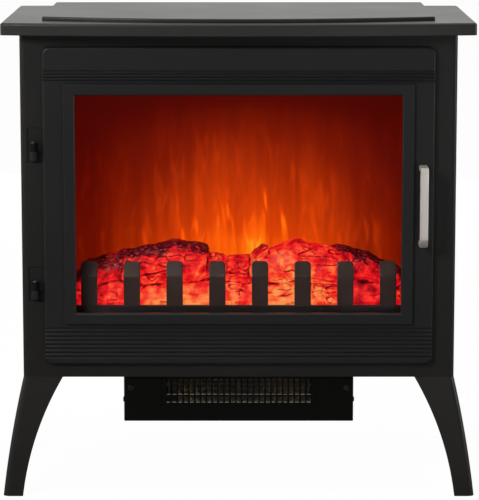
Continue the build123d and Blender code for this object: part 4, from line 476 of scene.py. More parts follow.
@dataclass(frozen=True)
class FlameGlow(Finish):
    """Acrylic diffuser screen, lit from behind through a turning spindle: soft upright streaks of light.

    Orange low in the middle, dark red at the top and the sides, with thin wisps that lean.
    """

    unlit: str = "#060101"
    roughness: float = 0.6
    specular: float = 0.02
    strength: float = 1.05
    cold_z: float = 0.466
    hot_z: float = 0.284
    middle_x: float = 0.012
    spread: float = 0.145
    base_share: float = 0.85
    # Width and height of the streaks in mm, and how far they change the heat.
    streaks: tuple[Triple, ...] = ((26.0, 230.0, 0.14), (9.0, 170.0, 0.07))
    # Width and height of the wisps in mm, their lean in degrees and their share of the heat.
    wisps: tuple[Quad, ...] = ((8.0, 58.0, -12.0, 0.22), (7.0, 50.0, 11.0, 0.22), (10.0, 44.0, 2.0, 0.32))
    # Values of the noise between which a streak or a wisp comes up.
    streak_band: Pair = (0.32, 0.68)
    wisp_band: Pair = (0.58, 0.80)
    wisp_step: float = 3.7
    wisp_side: float = 0.35
    sway_mm: float = 60.0
    sway_reach_mm: float = 12.0
    flames: Stops = (
        (0.0, "#430200"),
        (0.07, "#530400"),
        (0.23, "#7a1500"),
        (0.38, "#a02801"),
        (0.54, "#c23603"),
        (0.71, "#de4302"),
        (0.80, "#fb5a05"),
        (0.90, "#ff740a"),
        (1.0, "#ff9a20"),
    )

    def shader(self, tree: Tree, at: Socket) -> Node:
        """Adds the flame picture: a fall-off with height and width, streaks, and wisps that sway.

        Args:
            tree: The material's node tree.
            at: The socket of the Object coordinates.

        Returns:
            The Principled shader.
        """
        place = add(tree, SPLIT, (at,)).outputs
        fall = add(tree, RANGE, (place["Z"], self.cold_z, self.hot_z, 0.0, self.base_share))
        span = (place["X"], self.middle_x, self.middle_x + self.spread)
        across = add(tree, RANGE, span, clamp=False)
        side = add(tree, MATH, (across, across), operation="MULTIPLY")
        fade = add(tree, MATH, (side, -1.0), operation="MULTIPLY")
        middle = add(tree, MATH, (fade,), operation="EXPONENT")
        heat = add(tree, MATH, (fall, middle), operation="MULTIPLY")
        for width_mm, height_mm, change in self.streaks:
            streak = self.upright(tree, at, width_mm, height_mm)
            swing = add(tree, RANGE, (streak, *self.streak_band, 1 - change, 1 + change))
            heat = add(tree, MATH, (heat, swing), operation="MULTIPLY")
        bend = add(tree, NOISE, {"Vector": at, "Scale": scale_of(self.sway_mm), "Detail": 1.0})
        sway = add(tree, VECTOR, (bend.outputs["Color"], (0.5, 0.5, 0.5)), operation="SUBTRACT")
        shift = add(tree, VECTOR, (sway, (self.sway_reach_mm * MM, 0.0, 0.0)), operation="MULTIPLY")
        swayed = add(tree, VECTOR, (at, shift), operation="ADD").outputs[0]
        inward = add(tree, RANGE, (middle, 0.0, 1.0, self.wisp_side, 1.0))
        reach = add(tree, MATH, (fall, inward), operation="MULTIPLY")
        for number, (width_mm, height_mm, lean_deg, share) in enumerate(self.wisps):
            patches = self.upright(tree, swayed, width_mm, height_mm, lean_deg, number * self.wisp_step)
            wisp = add(tree, RANGE, (patches, *self.wisp_band, 0.0, share))
            lit = add(tree, MATH, (wisp, reach), operation="MULTIPLY")
            heat = add(tree, MATH, (heat, lit), operation="ADD")
        light = add(tree, RAMP, (heat,), stops=self.flames)
        surface = {"Base Color": linear(self.unlit), "Roughness": self.roughness}
        lamp = {"Emission Color": light, "Emission Strength": self.strength}
        return add(tree, PRINCIPLED, surface | lamp | {"Specular IOR Level": self.specular})

    def upright(
        self,
        tree: Tree,
        at: Socket,
        width_mm: float,
        height_mm: float,
        lean_deg: float = 0.0,
        start: float = 0.0,
    ) -> Node:
        """Adds noise in tall patches.

        Args:
            tree: The material's node tree.
            at: The socket of the coordinates.
            width_mm: Width of a patch.
            height_mm: Height of a patch.
            lean_deg: How far the patches lean.
            start: Where in the noise the picture begins.

        Returns:
            The noise.
        """
        turned = add(tree, MAPPING, {"Vector": at, "Rotation": (0.0, math.radians(lean_deg), 0.0)})
        size = {"Scale": (scale_of(width_mm), 1.0, scale_of(height_mm))}
        scaled = add(tree, MAPPING, {"Vector": turned, "Location": (start, start, start)} | size)
        return add(tree, NOISE, {"Vector": scaled, "Scale": 1.0, "Detail": 1.0})


@dataclass(frozen=True)
class StudioFloor(Finish):
    """Pale painted floor: white to look at, with a soft shadow, and dim in mirror images close by."""

    colour: str = "#dddcda"
    white_share: float = 0.97
    # Place along Y in metres, and brightness in a mirror image there.
    mirror_near: Pair = (-1.0, 0.02)
    mirror_far: Pair = (-5.0, 0.4)

    def shader(self, tree: Tree, at: Socket) -> Node:
        """Adds the floor as the object's own light and shadow fall on it, and as it is looked at.

        Args:
            tree: The material's node tree.
            at: The socket of the Object coordinates.

        Returns:
            The mix of the floor's shaders.
        """
        direct, mirror = sight_lines(tree)
        matt = add(tree, "ShaderNodeBsdfDiffuse", (linear(self.colour),))
        white = add(tree, EMISSION, (linear(WHITE), 1.0))
        ahead = add(tree, SPLIT, (at,)).outputs["Y"]
        (near, low), (far, high) = self.mirror_near, self.mirror_far
        level = add(tree, RANGE, (ahead, near, far, low, high))
        dim = add(tree, EMISSION, (linear(WHITE), level))
        share = add(tree, MATH, (direct, self.white_share), operation="MULTIPLY")
        looked_at = add(tree, MIX_SHADER, (share, matt, white))
        return add(tree, MIX_SHADER, (mirror, looked_at, dim))


# Powder coat on folded sheet: even satin black, a tone lighter on the top, which faces the light.
CASING_PAINT = PowderCoat("powder_coat_casing_satin_black", "#191817")
TOP_PAINT = PowderCoat("powder_coat_top_satin_black", "#232322", 0.34, peel_strength=0.04, edge_mm=1.6)
DOOR_PAINT = PowderCoat("powder_coat_door_satin_black", "#181818", 0.40)
# Matt powder coat on the heater box: a deep black with hardly a highlight.
HEATER_PAINT = PowderCoat("powder_coat_heater_matt_black", "#080806", 0.5, specular=0.05)
# Heat-proof paint inside the firebox: a sooty black that still catches the red light.
LINING_PAINT = PowderCoat("heat_paint_lining_matt_black", "#0b0a0a", 0.45, specular=0.3)
# Powder coat on cast legs: satin black over a coarser skin.
LEG_PAINT = PowderCoat("powder_coat_cast_leg_black", "#1b1a18", 0.36, peel_mm=3.0)
# A fine satin brush scatters so widely that the strap reads partly matt.
SATIN_STEEL = BrushedMetal("brushed_stainless_steel_strap", "#d2cec6", 0.38, Axis.Z, metallic=0.78)
# Foil, rolled sheet and turned brass: bright, with the lines of the rolls or of the lathe.
FOIL = BrushedMetal("bright_aluminium_foil", "#d9d9d6", 0.18, contrast=0.06)
ALUMINIUM = BrushedMetal("rolled_aluminium_sheet", "#b5b7b8", 0.35)
BRASS = BrushedMetal("turned_brass", "#b08a44", 0.25)
# Zinc plating: a cool grey with the faint crystal spangle of plated sheet.
ZINC = MottledSolid(
    "zinc_plated_steel", "#8d9296", "#a7acaf", 0.36, metallic=1.0, grain_mm=6.0, grain_strength=0.05
)
# Pale grey steel on the guard's slot lips: the light tone is a painted glint where the slot edges catch the
# light, over the lamps' own dull highlight, with a fine matt scuff.
LIP_STEEL_PAINTED_GLINT = MottledSolid(
    "bare_pressed_steel_edge", "#75726a", "#87837a", 0.4, metallic=0.35, grain_mm=1.5, grain_strength=0.05
)
# Black oxide: a dark oiled skin on machined steel.
BLACK_OXIDE = MottledSolid("black_oxide_steel", "#262625", "#34322f", 0.27, metallic=0.6, grain_mm=1.5)
# Hinge steel in a near black without a highlight: partly its own dull dark finish, partly painted shade of
# the deep hinge notch round it.
HINGE_BLACK_AND_PAINTED_SHADE = MottledSolid("phosphated_hinge_steel", "#030303", "#080707", 0.55, 0.12, grain_mm=1.5)
# Varnish over motor laminations: a dark grey metal with a soft gloss.
MOTOR = MottledSolid("varnished_motor_steel", "#3c3d3f", "#55565a", 0.45, metallic=0.8, grain_mm=5.0)
# Resistance wire after its first heat: a straw-coloured oxide over bright metal.
WIRE = MottledSolid("oxidised_resistance_wire", "#8a6d42", "#b08f58", 0.35, metallic=0.5, grain_mm=7.0)
# Stove enamel sprayed on flat steel bars: satin black, warmed a little by heat, with a fine grit.
GRATE_ENAMEL = MottledSolid("stove_enamel_satin_black", "#1d0f0d", "#261412", 0.4, 0.45, grain_mm=2.0)
# Silicone rubber: dull, slightly dusty black.
RUBBER = MottledSolid("silicone_rubber_strip", "#0d0d0d", "#161616", 0.8, 0.3)
# White solder mask on glass fibre: flat, slightly uneven white.
BOARD = MottledSolid("solder_mask_white", "#cfd0c8", "#dadbd4", 0.4, grain_mm=8.0)
# Mica board: pressed flakes, warm grey with a silky shimmer.
MICA = MottledSolid("pressed_mica_board", "#8a7a5e", "#a99877", 0.55, grain_mm=4.0, grain_depth_mm=0.2)
# Moulded ABS with a spark-eroded texture: dull black, even, and smoother on the knob and the red key.
ABS = MottledSolid("moulded_abs_black", "#121213", "#1a1a1b", 0.48, grain_mm=1.2)
KNOB_ABS = MottledSolid("moulded_abs_satin_knob", "#101011", "#161617", 0.32, grain_mm=2.5)
ROCKER_RED = MottledSolid("moulded_abs_red_rocker", "#8d0f0d", "#a01613", 0.3, grain_mm=2.5)
# Screen printing ink: a thin even off-white film.
INK = MottledSolid("screen_print_ink_white", "#d8d8d4", "#e4e4e0", 0.6, grain_mm=3.0)
# Tempered float glass: clear and flat, with a weak mirror image.
GLASS = WindowGlass("tempered_float_glass")
# Cast resin: red to orange light from inside, dark cracks, and painted crests whose pale pink flecks are
# painted glints of light.
EMBER = EmberResin("cast_resin_ember_bed")
# Acrylic lit through its frosted back: orange light without an edge, in upright streaks.
FLAMES = FlameGlow("acrylic_flame_diffuser")
# Matt floor paint: pale, even, without gloss.
FLOOR_PAINT = StudioFloor("pale_studio_floor")


def link(name: str, data: Any) -> Piece:
    """Links data into the scene as an object at the origin.

    Args:
        name: The object's name.
        data: Its mesh, lamp or camera.

    Returns:
        The object.
    """
    obj = bpy.data.objects.new(name, data)
    bpy.context.scene.collection.objects.link(obj)
    return obj


def to_object(name: str, raw: WorkMesh) -> Piece:
    """Turns a work mesh into an object.

    Args:
        name: The name of the object and of its mesh.
        raw: The work mesh, which is freed.

    Returns:
        The object at the origin.
    """
    data = bpy.data.meshes.new(name)
    raw.to_mesh(data)
    raw.free()
    return link(name, data)


def welded(node: Piece) -> WorkMesh:
    """Copies a CAD node's loose triangles into a work mesh with joined corners.

    Args:
        node: The CAD node.

    Returns:
        The work mesh.
    """
    raw = bmesh.new()
    raw.from_mesh(node.data)
    bmesh.ops.remove_doubles(raw, verts=raw.verts, dist=WELD)
    return raw


def bridge(raw: WorkMesh, rows: Sequence[Sequence[bmesh.types.BMVert]], closed: bool = False) -> None:
    """Joins neighbouring rows of points with faces.

    Args:
        raw: The work mesh that holds the points.
        rows: Rows of equally many points.
        closed: Whether a row runs back into its first point.
    """
    for one, other in zip(rows, rows[1:]):
        count = len(one)
        for k in range(count if closed else count - 1):
            n = (k + 1) % count
            raw.faces.new((one[k], one[n], other[n], other[k]))


def blocks(name: str, edge_mm: float, *boxes: tuple[Triple, Triple]) -> Piece:
    """Builds blocks with rounded edges.

    Args:
        name: The piece's name.
        edge_mm: Width of the rounding.
        boxes: Middle and size of each block, in metres.

    Returns:
        The blocks as one piece.
    """
    raw = bmesh.new()
    for middle, size in boxes:
        for vert in bmesh.ops.create_cube(raw, size=1.0)["verts"]:
            vert.co = Vector([m + c * s for m, c, s in zip(middle, vert.co, size)])
    bmesh.ops.bevel(raw, geom=raw.edges[:], offset=edge_mm * MM, segments=2, affect="EDGES")
    return to_object(name, raw)


def rounded(obj: Piece, width_mm: float, segments: int, angle_deg: float) -> None:
    """Gives an object a Bevel modifier.

    Args:
        obj: The object.
        width_mm: Width of the rounding.
        segments: Faces across the rounding.
        angle_deg: Edges that turn by more than this are rounded.
    """
    bevel = obj.modifiers.new("edge", "BEVEL")
    bevel.width = width_mm * MM
    bevel.segments = segments
    bevel.limit_method = "ANGLE"
    bevel.angle_limit = math.radians(angle_deg)


def settle(obj: Piece, name: str) -> Piece:
    """Turns an object with modifiers into a plain mesh.

    Args:
        obj: The object, which is removed.
        name: The plain piece's name.

    Returns:
        The plain piece.
    """
    graph = bpy.context.evaluated_depsgraph_get()
    mesh = bpy.data.meshes.new_from_object(obj.evaluated_get(graph), depsgraph=graph)
    mesh.name = name
    bpy.data.objects.remove(obj)
    return link(name, mesh)


def solids_of(node: Piece) -> list[np.ndarray]:
    """Splits a CAD node's loose triangles into its separate solids.

    Args:
        node: The CAD node.

    Returns:
        The corner points of each solid.
    """
    raw = welded(node)
    left = set(raw.verts)
    found = []
    while left:
        front = [left.pop()]
        solid = []
        while front:
            vert = front.pop()
            solid.append(vert.co.copy())
            for edge in vert.link_edges:
                other = edge.other_vert(vert)
                if other in left:
                    left.remove(other)
                    front.append(other)
        found.append(np.array(solid))
    raw.free()
    return sorted(found, key=lambda points: tuple(points.mean(axis=0).round(4)))


def geometry_tree(name: str, inputs: Mapping[str, Any]) -> tuple[Tree, Mapping[str, Socket]]:
    """Starts a Geometry Nodes tree with named inputs, and one more for its material.

    Args:
        name: The tree's name.
        inputs: Default of each input by name, None for an object.

    Returns:
        The tree, and the sockets that its inputs arrive at, by name.
    """
    tree = bpy.data.node_groups.new(name, "GeometryNodeTree")
    tree.interface.new_socket("Geometry", in_out="INPUT", socket_type="NodeSocketGeometry")
    for label, default in inputs.items():
        socket = tree.interface.new_socket(label, in_out="INPUT", socket_type=SOCKET_KINDS[type(default)])
        if default is not None:
            socket.default_value = default
    tree.interface.new_socket("Material", in_out="INPUT", socket_type="NodeSocketMaterial")
    tree.interface.new_socket("Geometry", in_out="OUTPUT", socket_type="NodeSocketGeometry")
    return tree, add(tree, "NodeGroupInput").outputs


def close_tree(tree: Tree, geometry: Node, material: Socket) -> Tree:
    """Ends a tree: instances made real, one material, and the output.

    Args:
        tree: The tree.
        geometry: The node with the finished geometry.
        material: The socket with the material.

    Returns:
        The finished tree.
    """
    real = add(tree, "GeometryNodeRealizeInstances", {"Geometry": geometry})
    painted = add(tree, "GeometryNodeSetMaterial", {"Geometry": real, "Material": material})
    add(tree, "NodeGroupOutput", (painted,))
    return tree


def row_tree() -> Tree:
    """Builds the tree that repeats a piece along X.

    Returns:
        The tree, with the inputs Piece, Count, Pitch and Material.
    """
    tree, given = geometry_tree("row_along_x", {"Piece": None, "Count": 8, "Pitch": 50 * MM})
    steps = add(tree, MATH, (given["Count"], 1.0), operation="SUBTRACT")
    span = add(tree, MATH, (steps, given["Pitch"]), operation="MULTIPLY")
    first = add(tree, MATH, (span, -0.5), operation="MULTIPLY")
    ends = {"Start Location": add(tree, JOIN, (first,)), "Offset": add(tree, JOIN, (given["Pitch"],))}
    line = add(tree, "GeometryNodeMeshLine", {"Count": given["Count"]} | ends, mode="OFFSET")
    piece = add(tree, "GeometryNodeObjectInfo", {"Object": given["Piece"]}).outputs["Geometry"]
    copies = add(tree, INSTANCES, {"Points": line, "Instance": piece})
    return close_tree(tree, copies, given["Material"])


def screw_tree() -> Tree:
    """Builds the tree that sets a cross-recessed pan head on each point, along its facing.

    Returns:
        The tree, with the inputs Head, Crown, Height, Recess, Slot and Material: sizes in metres,
        and the crown's radius as a share of the head's width.
    """
    head = {"Head": 7.5 * MM, "Crown": 0.33, "Height": 2.2 * MM}
    cross = {"Recess": 4.2 * MM, "Slot": 1.0 * MM}
    tree, given = geometry_tree("pan_head_screws", head | cross)
    foot = add(tree, MATH, (given["Head"], 0.5), operation="MULTIPLY")
    crown = add(tree, MATH, (given["Head"], given["Crown"]), operation="MULTIPLY")
    form = {"Radius Top": crown, "Radius Bottom": foot, "Depth": given["Height"]}
    blank = add(tree, "GeometryNodeMeshCone", {"Vertices": 28, "Side Segments": 3} | form)
    lift = add(tree, JOIN, {"Z": given["Height"]})
    cut = add(tree, "GeometryNodeMeshBoolean", {"Mesh 1": blank}, operation="DIFFERENCE")
    for wide, deep in (("Recess", "Slot"), ("Slot", "Recess")):
        size = add(tree, JOIN, (given[wide], given[deep], given["Height"]))
        arm = add(tree, "GeometryNodeMeshCube", {"Size": size})
        raised = add(tree, "GeometryNodeTransform", {"Geometry": arm, "Translation": lift})
        tree.links.new(raised.outputs[0], cut.inputs["Mesh 2"])
    facing = add(tree, "GeometryNodeInputNamedAttribute", {"Name": "facing"}, data_type="FLOAT_VECTOR")
    turn = add(tree, ALIGN, {"Vector": facing}, axis="Z")
    heads = add(tree, INSTANCES, {"Points": given["Geometry"], "Instance": cut, "Rotation": turn})
    return close_tree(tree, heads, given["Material"])


def wire_tree() -> Tree:
    """Builds the tree that draws round wire along the edges of a path.

    Returns:
        The tree, with the inputs Wire, Sides and Material.
    """
    tree, given = geometry_tree("round_wire", {"Wire": 0.5 * MM, "Sides": 5})
    path = add(tree, "GeometryNodeMeshToCurve", {"Mesh": given["Geometry"]})
    radius = add(tree, MATH, (given["Wire"], 0.5), operation="MULTIPLY")
    circle = {"Resolution": given["Sides"], "Radius": radius}
    section = add(tree, "GeometryNodeCurvePrimitiveCircle", circle)
    sweep = {"Curve": path, "Profile Curve": section, "Fill Caps": True}
    drawn = add(tree, "GeometryNodeCurveToMesh", sweep)
    smooth = add(tree, "GeometryNodeSetShadeSmooth", {"Geometry": drawn})
    return close_tree(tree, smooth, given["Material"])


def dial_tree() -> Tree:
    """Builds the tree that sets flat marks round part of a circle that faces the front.

    Returns:
        The tree, with the inputs Count, Radius, Start, Sweep, Length, Width, Film, Middle and Material.
    """
    arc = {"Count": 11, "Radius": 18 * MM, "Start": 0.0, "Sweep": math.pi}
    mark = {"Length": 2 * MM, "Width": 0.6 * MM, "Film": 0.1 * MM, "Middle": (0.0, 0.0, 0.0)}
    tree, given = geometry_tree("dial_marks", arc | mark)
    angles = {"Start Angle": given["Start"], "Sweep Angle": given["Sweep"]}
    scale = add(tree, "GeometryNodeCurveArc", {"Radius": given["Radius"]} | angles, mode="RADIUS")
    points = add(tree, "GeometryNodeCurveToPoints", {"Curve": scale, "Count": given["Count"]})
    size = add(tree, JOIN, (given["Length"], given["Width"], given["Film"]))
    block = add(tree, "GeometryNodeMeshCube", {"Size": size})
    outward = add(tree, "GeometryNodeInputPosition")
    turn = add(tree, ALIGN, {"Vector": outward}, axis="X")
    marks = add(tree, INSTANCES, {"Points": points, "Instance": block, "Rotation": turn})
    place = {"Translation": given["Middle"], "Rotation": (math.radians(90), 0.0, 0.0)}
    upright = add(tree, "GeometryNodeTransform", {"Geometry": marks} | place)
    return close_tree(tree, upright, given["Material"])


class Workshop:
    """What the sub-assemblies share: the frame's nodes, the materials and the Geometry Nodes trees."""

    def __init__(self, frame: Mapping[str, Any]) -> None:
        """Takes the frame's nodes and builds the trees.
        """
        self.nodes: Mapping[str, Piece] = frame["nodes"]
        self.materials: dict[Finish, bpy.types.Material] = {}
        self.row, self.screws = row_tree(), screw_tree()
        self.wire, self.dial = wire_tree(), dial_tree()

    def material(self, finish: Finish) -> bpy.types.Material:
        """Gives the material of a finish, building it at its first use.

        Args:
            finish: The finish.

        Returns:
            Its material.
        """
        if finish not in self.materials:
            self.materials[finish] = finish.build()
        return self.materials[finish]

    def dress(self, obj: Piece, finish: Finish) -> None:
        """Gives a piece one finish all over."""
        obj.data.materials.clear()
        obj.data.materials.append(self.material(finish))

    def dress_nodes(self, finishes: Mapping[Finish, Iterable[str]]) -> None:
        """Gives CAD nodes their finishes.

        Args:
            finishes: Node names under each finish.
        """
        for finish, names in finishes.items():
            for name in names:
                self.dress(self.nodes[name], finish)
                log.info("%s: %s", name, finish.name)

    def place(self, obj: Piece, finish: Finish, body: Body, slot: Slot | None, *replaced: str) -> None:
        """Finishes a new piece: its material, its body and the nodes it stands for.

        Args:
            obj: The piece, already in place.
            finish: Its finish.
            body: The body it rides on.
            slot: The record's material slot, or None; not used.
            replaced: CAD nodes that it stands for.
        """
        self.dress(obj, finish)
        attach(obj, body.value)
        if replaced:
            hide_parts(*replaced)
        log.info("%s: %s, %d faces", obj.name, finish.name, len(obj.data.polygons))

    def grow(
        self,
        name: str,
        tree: Tree,
        finish: Finish,
        values: Mapping[str, Any],
        base: bpy.types.Mesh | None = None,
    ) -> Piece:
        """Runs a Geometry Nodes tree once.

        Args:
            name: The piece's name.
            tree: The tree.
            finish: The finish whose material the tree sets.
            values: Its other inputs, by name.
            base: The mesh that it starts from, if it needs one.

        Returns:
            The grown piece as a plain mesh.
        """
        if base is None:
            base = bpy.data.meshes.new(name + "_base")
        host = link(name + "_host", base)
        modifier = host.modifiers.new("grow", "NODES")
        modifier.node_group = tree
        given = {"Material": self.material(finish), **values}
        for item in tree.interface.items_tree:
            if item.in_out == "INPUT" and item.name in given:
                modifier[item.identifier] = given[item.name]
        return settle(host, name)


@dataclass(frozen=True)
class ScrewSet:
    """One node's pan-head screws, shown by their cross-recessed heads."""

    node: str
    head_mm: float = 7.5
    crown_share: float = 0.33
    height_mm: float = 2.2
    recess_share: float = 0.56
    slot_share: float = 0.15
    # A point further from the axis than this share of the head's width belongs to the head.
    rim_share: float = 0.45

    def build(self, shop: Workshop) -> None:
        """Sets a head on the seat of each screw of the node.

        Args:
            shop: The workshop.
        """
        seats, facings = [], []
        for points in solids_of(shop.nodes[self.node]):
            low, high = points.min(axis=0), points.max(axis=0)
            axis = int(np.argmax(high - low))
            middle = (low + high) / 2
            reach = np.delete(np.abs(points - middle), axis, axis=1).max(axis=1)
            rim = points[reach > self.rim_share * self.head_mm * MM][:, axis].mean()
            sign = 1.0 if rim > middle[axis] else -1.0
            facing = np.zeros(3)
            facing[axis] = sign
            end = high[axis] if sign > 0 else low[axis]
            seat = middle.copy()
            seat[axis] = end - sign * self.height_mm * MM
            seats.append(tuple(seat))
            facings.append(facing)
        base = bpy.data.meshes.new(self.node + "_seats")
        base.from_pydata(seats, [], [])
        attribute = base.attributes.new("facing", "FLOAT_VECTOR", "POINT")
        attribute.data.foreach_set("vector", np.array(facings, np.float32).ravel())
        values = {
            "Head": self.head_mm * MM,
            "Crown": self.crown_share,
            "Height": self.height_mm * MM,
            "Recess": self.recess_share * self.head_mm * MM,
            "Slot": self.slot_share * self.head_mm * MM,
        }
        heads = shop.grow(self.node + "_heads", shop.screws, BLACK_OXIDE, values, base)
        shop.place(heads, BLACK_OXIDE, Body.CASING, Slot.SCREWS, self.node)


@dataclass
class Casing:
    """The sheet steel casing with its top plate, legs and screws."""

    top: tuple[str, ...] = ("top_plate", "raised_top_panel")
    front: tuple[str, ...] = ("front_frame", "side_panel_left", "side_panel_right")
    hidden: tuple[str, ...] = ("back_panel", "base_plate")
    legs: tuple[str, ...] = ("leg_front_left", "leg_front_right", "leg_rear_left", "leg_rear_right")
    screws: tuple[ScrewSet, ...] = (ScrewSet("back_panel_screws"), ScrewSet("leg_screws", head_mm=9.0))

    def build(self, shop: Workshop) -> None:
        """Dresses the casing and sets its screws.

        Args:
            shop: The workshop.
        """
        sheets = {TOP_PAINT: self.top, CASING_PAINT: self.front + self.hidden, LEG_PAINT: self.legs}
        shop.dress_nodes(sheets | {ABS: ("cord_gland",)})
        for screws in self.screws:
            screws.build(shop)


@dataclass
class Door:
    """The glazed door with its bezel, handle, hinges and catch."""

    panels: tuple[str, ...] = ("door_panel", "window_bezel")
    body_leaves: tuple[str, ...] = ("hinge_leaf_body_upper", "hinge_leaf_body_lower")
    door_leaves: tuple[str, ...] = ("hinge_leaf_door_upper", "hinge_leaf_door_lower")
    pins: tuple[str, ...] = ("hinge_pin_upper", "hinge_pin_lower")
    fittings: tuple[str, ...] = ("glass_clips", "handle_screws", "strike_plate")

    def build(self, shop: Workshop) -> None:
        """Dresses the door's pieces.

        Args:
            shop: The workshop.
        """
        shop.dress_nodes(
            {
                DOOR_PAINT: self.panels,
                CASING_PAINT: self.body_leaves,
                # The door leaves' near black is the hinge's own dark steel and painted shade of its notch.
                HINGE_BLACK_AND_PAINTED_SHADE: self.door_leaves,
                BLACK_OXIDE: self.pins,
                ZINC: self.fittings,
                GLASS: ("door_glass",),
                RUBBER: ("glass_gasket",),
                SATIN_STEEL: ("door_handle",),
                ABS: ("magnet_catch",),
            }
        )


@dataclass
class Grate:
    """Flat bars with rounded, leaning tips on a rail in front of the logs."""

    count: int = 8
    width_mm: float = 19.0
    thickness_mm: float = 3.0
    setback_mm: float = 1.5
    bend_start_mm: float = 42.0
    bend_mm: float = 4.0
    lean_deg: float = 30.0
    tip_radius_mm: float = 4.5
    rail_height_mm: float = 9.0
    rail_depth_mm: float = 6.0
    rail_end_mm: float = 7.0
    edge_mm: float = 0.6
    edge_deg: float = 50.0
    across: int = 10
    upward: int = 48

    def build(self, shop: Workshop) -> None:
        """Builds the bars in a row, and the rail under them.

        Args:
            shop: The workshop.
        """
        low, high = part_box("grate")
        bar = self.bar(low, high)
        pitch = (high.x - low.x - 2 * self.rail_end_mm * MM - self.width_mm * MM) / (self.count - 1)
        values = {"Piece": bar, "Count": self.count, "Pitch": pitch}
        row = shop.grow("grate_bars", shop.row, GRATE_ENAMEL, values)
        bpy.data.objects.remove(bar)
        shop.place(row, GRATE_ENAMEL, Body.CASING, Slot.GRATE, "grate")
        depth, height = self.rail_depth_mm * MM, self.rail_height_mm * MM
        middle = (0.0, low.y + depth / 2, low.z + height / 2)
        rail = blocks("grate_rail", self.edge_mm, (middle, (high.x - low.x, depth, height)))
        shop.place(rail, LINING_PAINT, Body.CASING, Slot.GRATE)

    def bar(self, low: Vector, high: Vector) -> Piece:
        """Builds one bar: a strip folded back below its round-cornered tip.

        Args:
            low: Lowest corner of the CAD grate.
            high: Highest corner of the CAD grate.

        Returns:
            The bar in the middle of the row.
        """
        start, bend, tip = self.bend_start_mm * MM, self.bend_mm * MM, self.tip_radius_mm * MM
        half = self.width_mm * MM / 2
        lean = math.radians(self.lean_deg)
        length = start + bend + (high.z - low.z - start - bend * math.cos(lean / 2)) / math.cos(lean)
        step = length / self.upward
        y, z = low.y + self.setback_mm * MM, low.z
        raw = bmesh.new()
        rows = []
        for j in range(self.upward + 1):
            along = step * j
            turn = lean * min(max((along - step / 2 - start) / bend, 0.0), 1.0)
            if j:
                y += step * math.sin(turn)
                z += step * math.cos(turn)
            into_tip = max(0.0, along - (length - tip))
            reach = half - (tip - math.sqrt(max(tip * tip - into_tip * into_tip, 0.0)))
            shares = [2 * i / self.across - 1 for i in range(self.across + 1)]
            rows.append([raw.verts.new((reach * share, y, z)) for share in shares])
        bridge(raw, rows)
        strip = to_object("grate_bar_strip", raw)
        wall = strip.modifiers.new("wall", "SOLIDIFY")
        wall.thickness = self.thickness_mm * MM
        wall.offset = -1.0
        rounded(strip, self.edge_mm, segments=2, angle_deg=self.edge_deg)
        bar = settle(strip, "grate_bar")
        bar.data.shade_smooth()
        return bar


@dataclass(frozen=True)
class LogForm:
    """One moulded log: its stations along X, its dark bark paint and its warmth.

    A station is X, height of the middle above the floor, setback from the bed's front and radius, in mm.
    The paint covers the log from a share of the way up its side, 0 at the front and 1 at the top.
    """

    stations: tuple[Quad, ...]
    char: float
    char_from: float
    warmth: float

    def at(self, x: np.ndarray) -> tuple[np.ndarray, np.ndarray, np.ndarray]:
        """Gives the log's middle height, setback and radius at places along X, in mm."""
        table = np.array(self.stations)
        return tuple(np.interp(x, table[:, 0], table[:, i]) for i in (1, 2, 3))


@dataclass(frozen=True)
class LogSkin:
    """How a log's tube is drawn: its lumps, its split ends and its points, sizes in mm."""

    rings: int = 40
    sides: int = 30
    lump_length: float = 30.0
    lump_turn: float = 1.2
    lump_share: float = 0.10
    end_length: float = 9.0
    end_share: float = 0.72
    end_swell: float = 0.28
    split: float = 4.0
    split_waves: float = 4.0
    least_height: float = 1.0

    def draw(self, raw: WorkMesh, form: LogForm, low: Vector) -> None:
        """Adds one log as a closed tube with rounded, uneven ends.

        Args:
            raw: The work mesh that gets it.
            form: The log.
            low: Lowest corner of the CAD log bed.
        """
        first, last = form.stations[0][0], form.stations[-1][0]
        rings = []
        for i in range(self.rings + 1):
            share = i / self.rings
            x = first + share * (last - first)
            height, setback, radius = (float(v) for v in form.at(np.array(x)))
            end = min(1.0, min(share, 1 - share) * (last - first) / self.end_length)
            trim = self.end_share + self.end_swell * math.sqrt(end)
            ring = []
            for k in range(self.sides):
                angle = 2 * math.pi * k / self.sides
                c, s = math.cos(angle), math.sin(angle)
                spot = Vector((x / self.lump_length, c * self.lump_turn, s * self.lump_turn + first))
                reach = radius * trim * (1 + self.lump_share * noise.noise(spot))
                split = self.split * noise.noise(Vector((c, s, first + self.split_waves * share)))
                z = low.z + max(self.least_height, height + reach * s) * MM
                ring.append(raw.verts.new(((x + split) * MM, low.y + (setback - reach * c) * MM, z)))
            rings.append(ring)
        bridge(raw, rings, closed=True)
        raw.faces.new(rings[0][::-1])
        raw.faces.new(rings[-1])


